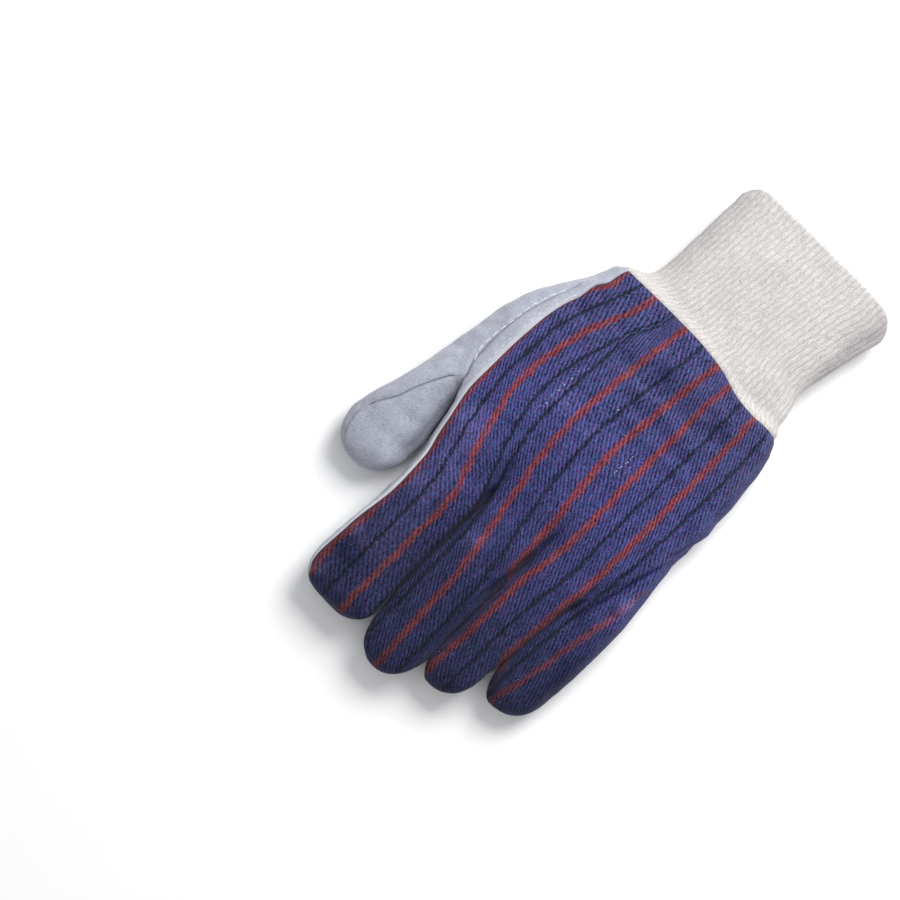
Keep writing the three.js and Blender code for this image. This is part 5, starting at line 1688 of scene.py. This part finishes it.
def knit_material():
    nodes = Nodes("rib_knit_cotton")
    knit = nodes.uv("knit")
    rib, v, _ = nodes.split(knit)
    place = nodes.place()
    fuzz = nodes.noise(place, 1500.0, 3.0, 0.7)
    cloudy = nodes.noise(place, 60.0, 3.0, 0.5)
    along = nodes.add("Mapping", {"Vector": knit, "Scale": (2.6, 0.33, 1.0)})
    dashes = nodes.flat_noise(along, 1.0, 2.0, 0.6)
    # Between the ribs' strong lines are weak ones, along their middles.
    fine_line = nodes.math("COSINE", nodes.multiply(rib, 4 * math.pi))
    strong_line = nodes.wave("COSINE", rib)
    # These lines darken the colour in the ribs' valleys and along their middles, as painted shade, and also
    # sink the bump there.
    lines = nodes.math("MULTIPLY_ADD", fine_line, -0.08, nodes.multiply(strong_line, -0.16))
    lines = nodes.multiply(lines, nodes.math("MULTIPLY_ADD", dashes, 3.4, -0.9))
    loop_length = 1.2
    loop = nodes.math("MULTIPLY_ADD", fine_line, 0.15, nodes.math("DIVIDE", v, loop_length))
    loop = nodes.wave("SINE", loop)
    level = nodes.vary(0.55, fuzz, 1.9)
    level = nodes.vary(level, dashes, 1.0)
    level = nodes.vary(level, cloudy, 0.35)
    level = nodes.math("MULTIPLY_ADD", loop, 0.05, level)
    level = nodes.math("ADD", level, lines, clamp=True)
    colour = nodes.mix(level, linear(164, 160, 157), linear(211, 207, 204))
    # A few dark specks of seed husk.
    specks = nodes.add("TexVoronoi", {"Vector": place, "Scale": 170.0}, feature="F1")
    some = nodes.step(nodes.noise(place, 75.0, 1.0), 0.56, 0.62)
    speck = nodes.multiply(nodes.step(specks, 0.075, 0.035), some)
    colour = nodes.cover(speck, 0.8, colour, linear(112, 92, 84))
    # Painted shade where the cuff's sides curve down, most on the little finger's side towards the hem.
    colour = nodes.tint(nodes.step(nodes.of_point("marks"), 0.5, 1.0), colour, 0.7, 0.68, 0.73)
    height = nodes.math("MULTIPLY_ADD", fuzz, 0.8, nodes.multiply(dashes, 0.5))
    height = nodes.math("MULTIPLY_ADD", loop, 0.12, height)
    height = nodes.math("ADD", height, lines)
    return nodes.finish(colour, 0.94, nodes.bump(height, 0.0002, 0.7), specular=0.15, sheen=0.05)


def thread_material(name, colour):
    nodes = Nodes(name)
    twist = nodes.noise(nodes.place(), 2500.0, 2.0)
    shade = nodes.mix(twist, tuple(0.75 * c for c in colour[:3]) + (1.0,), colour)
    return nodes.finish(shade, 0.85, nodes.bump(twist, 0.0001, 0.5), specular=0.3)


# Stage

# Soft boxes: name, place, size (m), watts.
LIGHTS = (
    ("key", (-0.02, -1.05, 1.05), 0.8, 25.0),
    ("fill", (-0.9, 0.5, 1.5), 1.4, 2.5),
    ("top", (0.1, 0.0, 1.9), 1.6, 4.5),
)
# The picture is "width" wide at the target's distance (m); the sensor is in mm.
CAMERA = {
    "azimuth": math.radians(225),
    "elevation": math.radians(86),
    "distance": 2.2,
    "width": 0.383,
    "target": (0.03175, 0.04245, 0.012),
    "sensor": 36,
}
FLOOR_REACH = 3


def look(item, place, towards):
    """Puts a light or a camera at a place, looking in a direction."""
    item.location = place
    item.rotation_mode = "QUATERNION"
    item.rotation_quaternion = towards.to_track_quat("-Z", "Y")


def add_floor():
    mesh = bpy.data.meshes.new("floor")
    corners = [(x * FLOOR_REACH, y * FLOOR_REACH, 0) for x, y in ((-1, -1), (1, -1), (1, 1), (-1, 1))]
    mesh.from_pydata(corners, [], [(0, 1, 2, 3)])
    floor = add_object("floor", mesh)
    nodes = Nodes("floor_white")
    shade = nodes.noise(nodes.place(), 3.0, 1.0)
    paint = nodes.mix(shade, (0.93, 0.93, 0.93, 1), (0.94, 0.94, 0.94, 1))
    mesh.materials.append(nodes.finish(paint, 0.8, nodes.bump(shade, 0.0001, 0.1), specular=0.1))


def add_stage():
    """A pale floor, soft lights and the camera."""
    add_floor()
    world = bpy.data.worlds.new("soft_daylight")
    world.use_nodes = True
    background = world.node_tree.nodes["Background"]
    background.inputs["Color"].default_value = (0.97, 0.98, 1.0, 1)
    background.inputs["Strength"].default_value = 0.4
    bpy.context.scene.world = world

    for name, place, size, power in LIGHTS:
        data = bpy.data.lights.new(name, "AREA")
        data.size = size
        data.energy = power
        look(add_object(name, data), place, -Vector(place))

    azimuth, elevation = CAMERA["azimuth"], CAMERA["elevation"]
    back = Vector((
        math.sin(azimuth) * math.cos(elevation),
        -math.cos(azimuth) * math.cos(elevation),
        math.sin(elevation),
    ))
    data = bpy.data.cameras.new("camera")
    data.sensor_width = CAMERA["sensor"]
    data.lens = CAMERA["sensor"] * CAMERA["distance"] / CAMERA["width"]
    camera = add_object("camera", data)
    look(camera, Vector(CAMERA["target"]) + back * CAMERA["distance"], -back)
    bpy.context.scene.camera = camera
    bpy.context.scene.view_settings.view_transform = "Standard"


# Assembly

# The sewn panels in the order of PANELS: piece, the solid that it stands for, material and slot.
PANEL_PIECES = (
    ("cloth_back", "back_panel", "cloth", "striped_cotton"),
    ("leather_palm", "palm_panel", "leather", "split_leather"),
    ("leather_thumb_outer", "thumb_outer", "leather", "split_leather"),
    ("leather_thumb_inner", "thumb_inner", "leather", "split_leather"),
)


def build_hand(materials):
    """Makes the four sewn panels. Returns their skin, on which the threads are laid."""
    skin = Skin()
    spans, thumb_root, fold = build_palm(skin)
    for name in FINGERS:
        build_finger(skin, name, spans)
    build_thumb(skin, thumb_root, fold)
    points, faces, panels, cloth = skin.weld()
    points, gap, skin_values = shape_skin(points, faces, panels)
    normals = vertex_normals(points, faces)
    for number, (name, node, material, slot) in enumerate(PANEL_PIECES):
        chosen = panels == number
        vertices, quads, places, used = panel_mesh(points, faces[chosen], cloth[chosen], normals, gap)
        if material == "cloth":
            maps = {"weave": weave_places(places), "stripes": stripe_places(places)}
        else:
            maps = {"flat": places}
        values = {key: np.tile(numbers[used], 2) for key, numbers in skin_values.items()}
        new_piece(name, vertices, quads, materials[material], slot, (node,), maps, values)
    return BVHTree.FromPolygons(points.tolist(), faces.tolist())


materials = {
    "cloth": cloth_material(),
    "leather": leather_material(),
    "knit": knit_material(),
    "thread": thread_material("cotton_thread", linear(226, 226, 228)),
    "slub": thread_material("cotton_slub", linear(176, 180, 208)),
}
surface = build_hand(materials)
cuff_points, cuff_faces, *cuff_looks = build_cuff()
new_piece("ribbed_cuff", cuff_points, cuff_faces, materials["knit"], "rib_knit", ("knit_cuff",), *cuff_looks)
new_piece("strip_stitches", *build_threads(surface), materials["thread"], "rib_knit")
new_piece("cloth_slubs", *build_slubs(surface), materials["slub"], "striped_cotton")
add_stage()
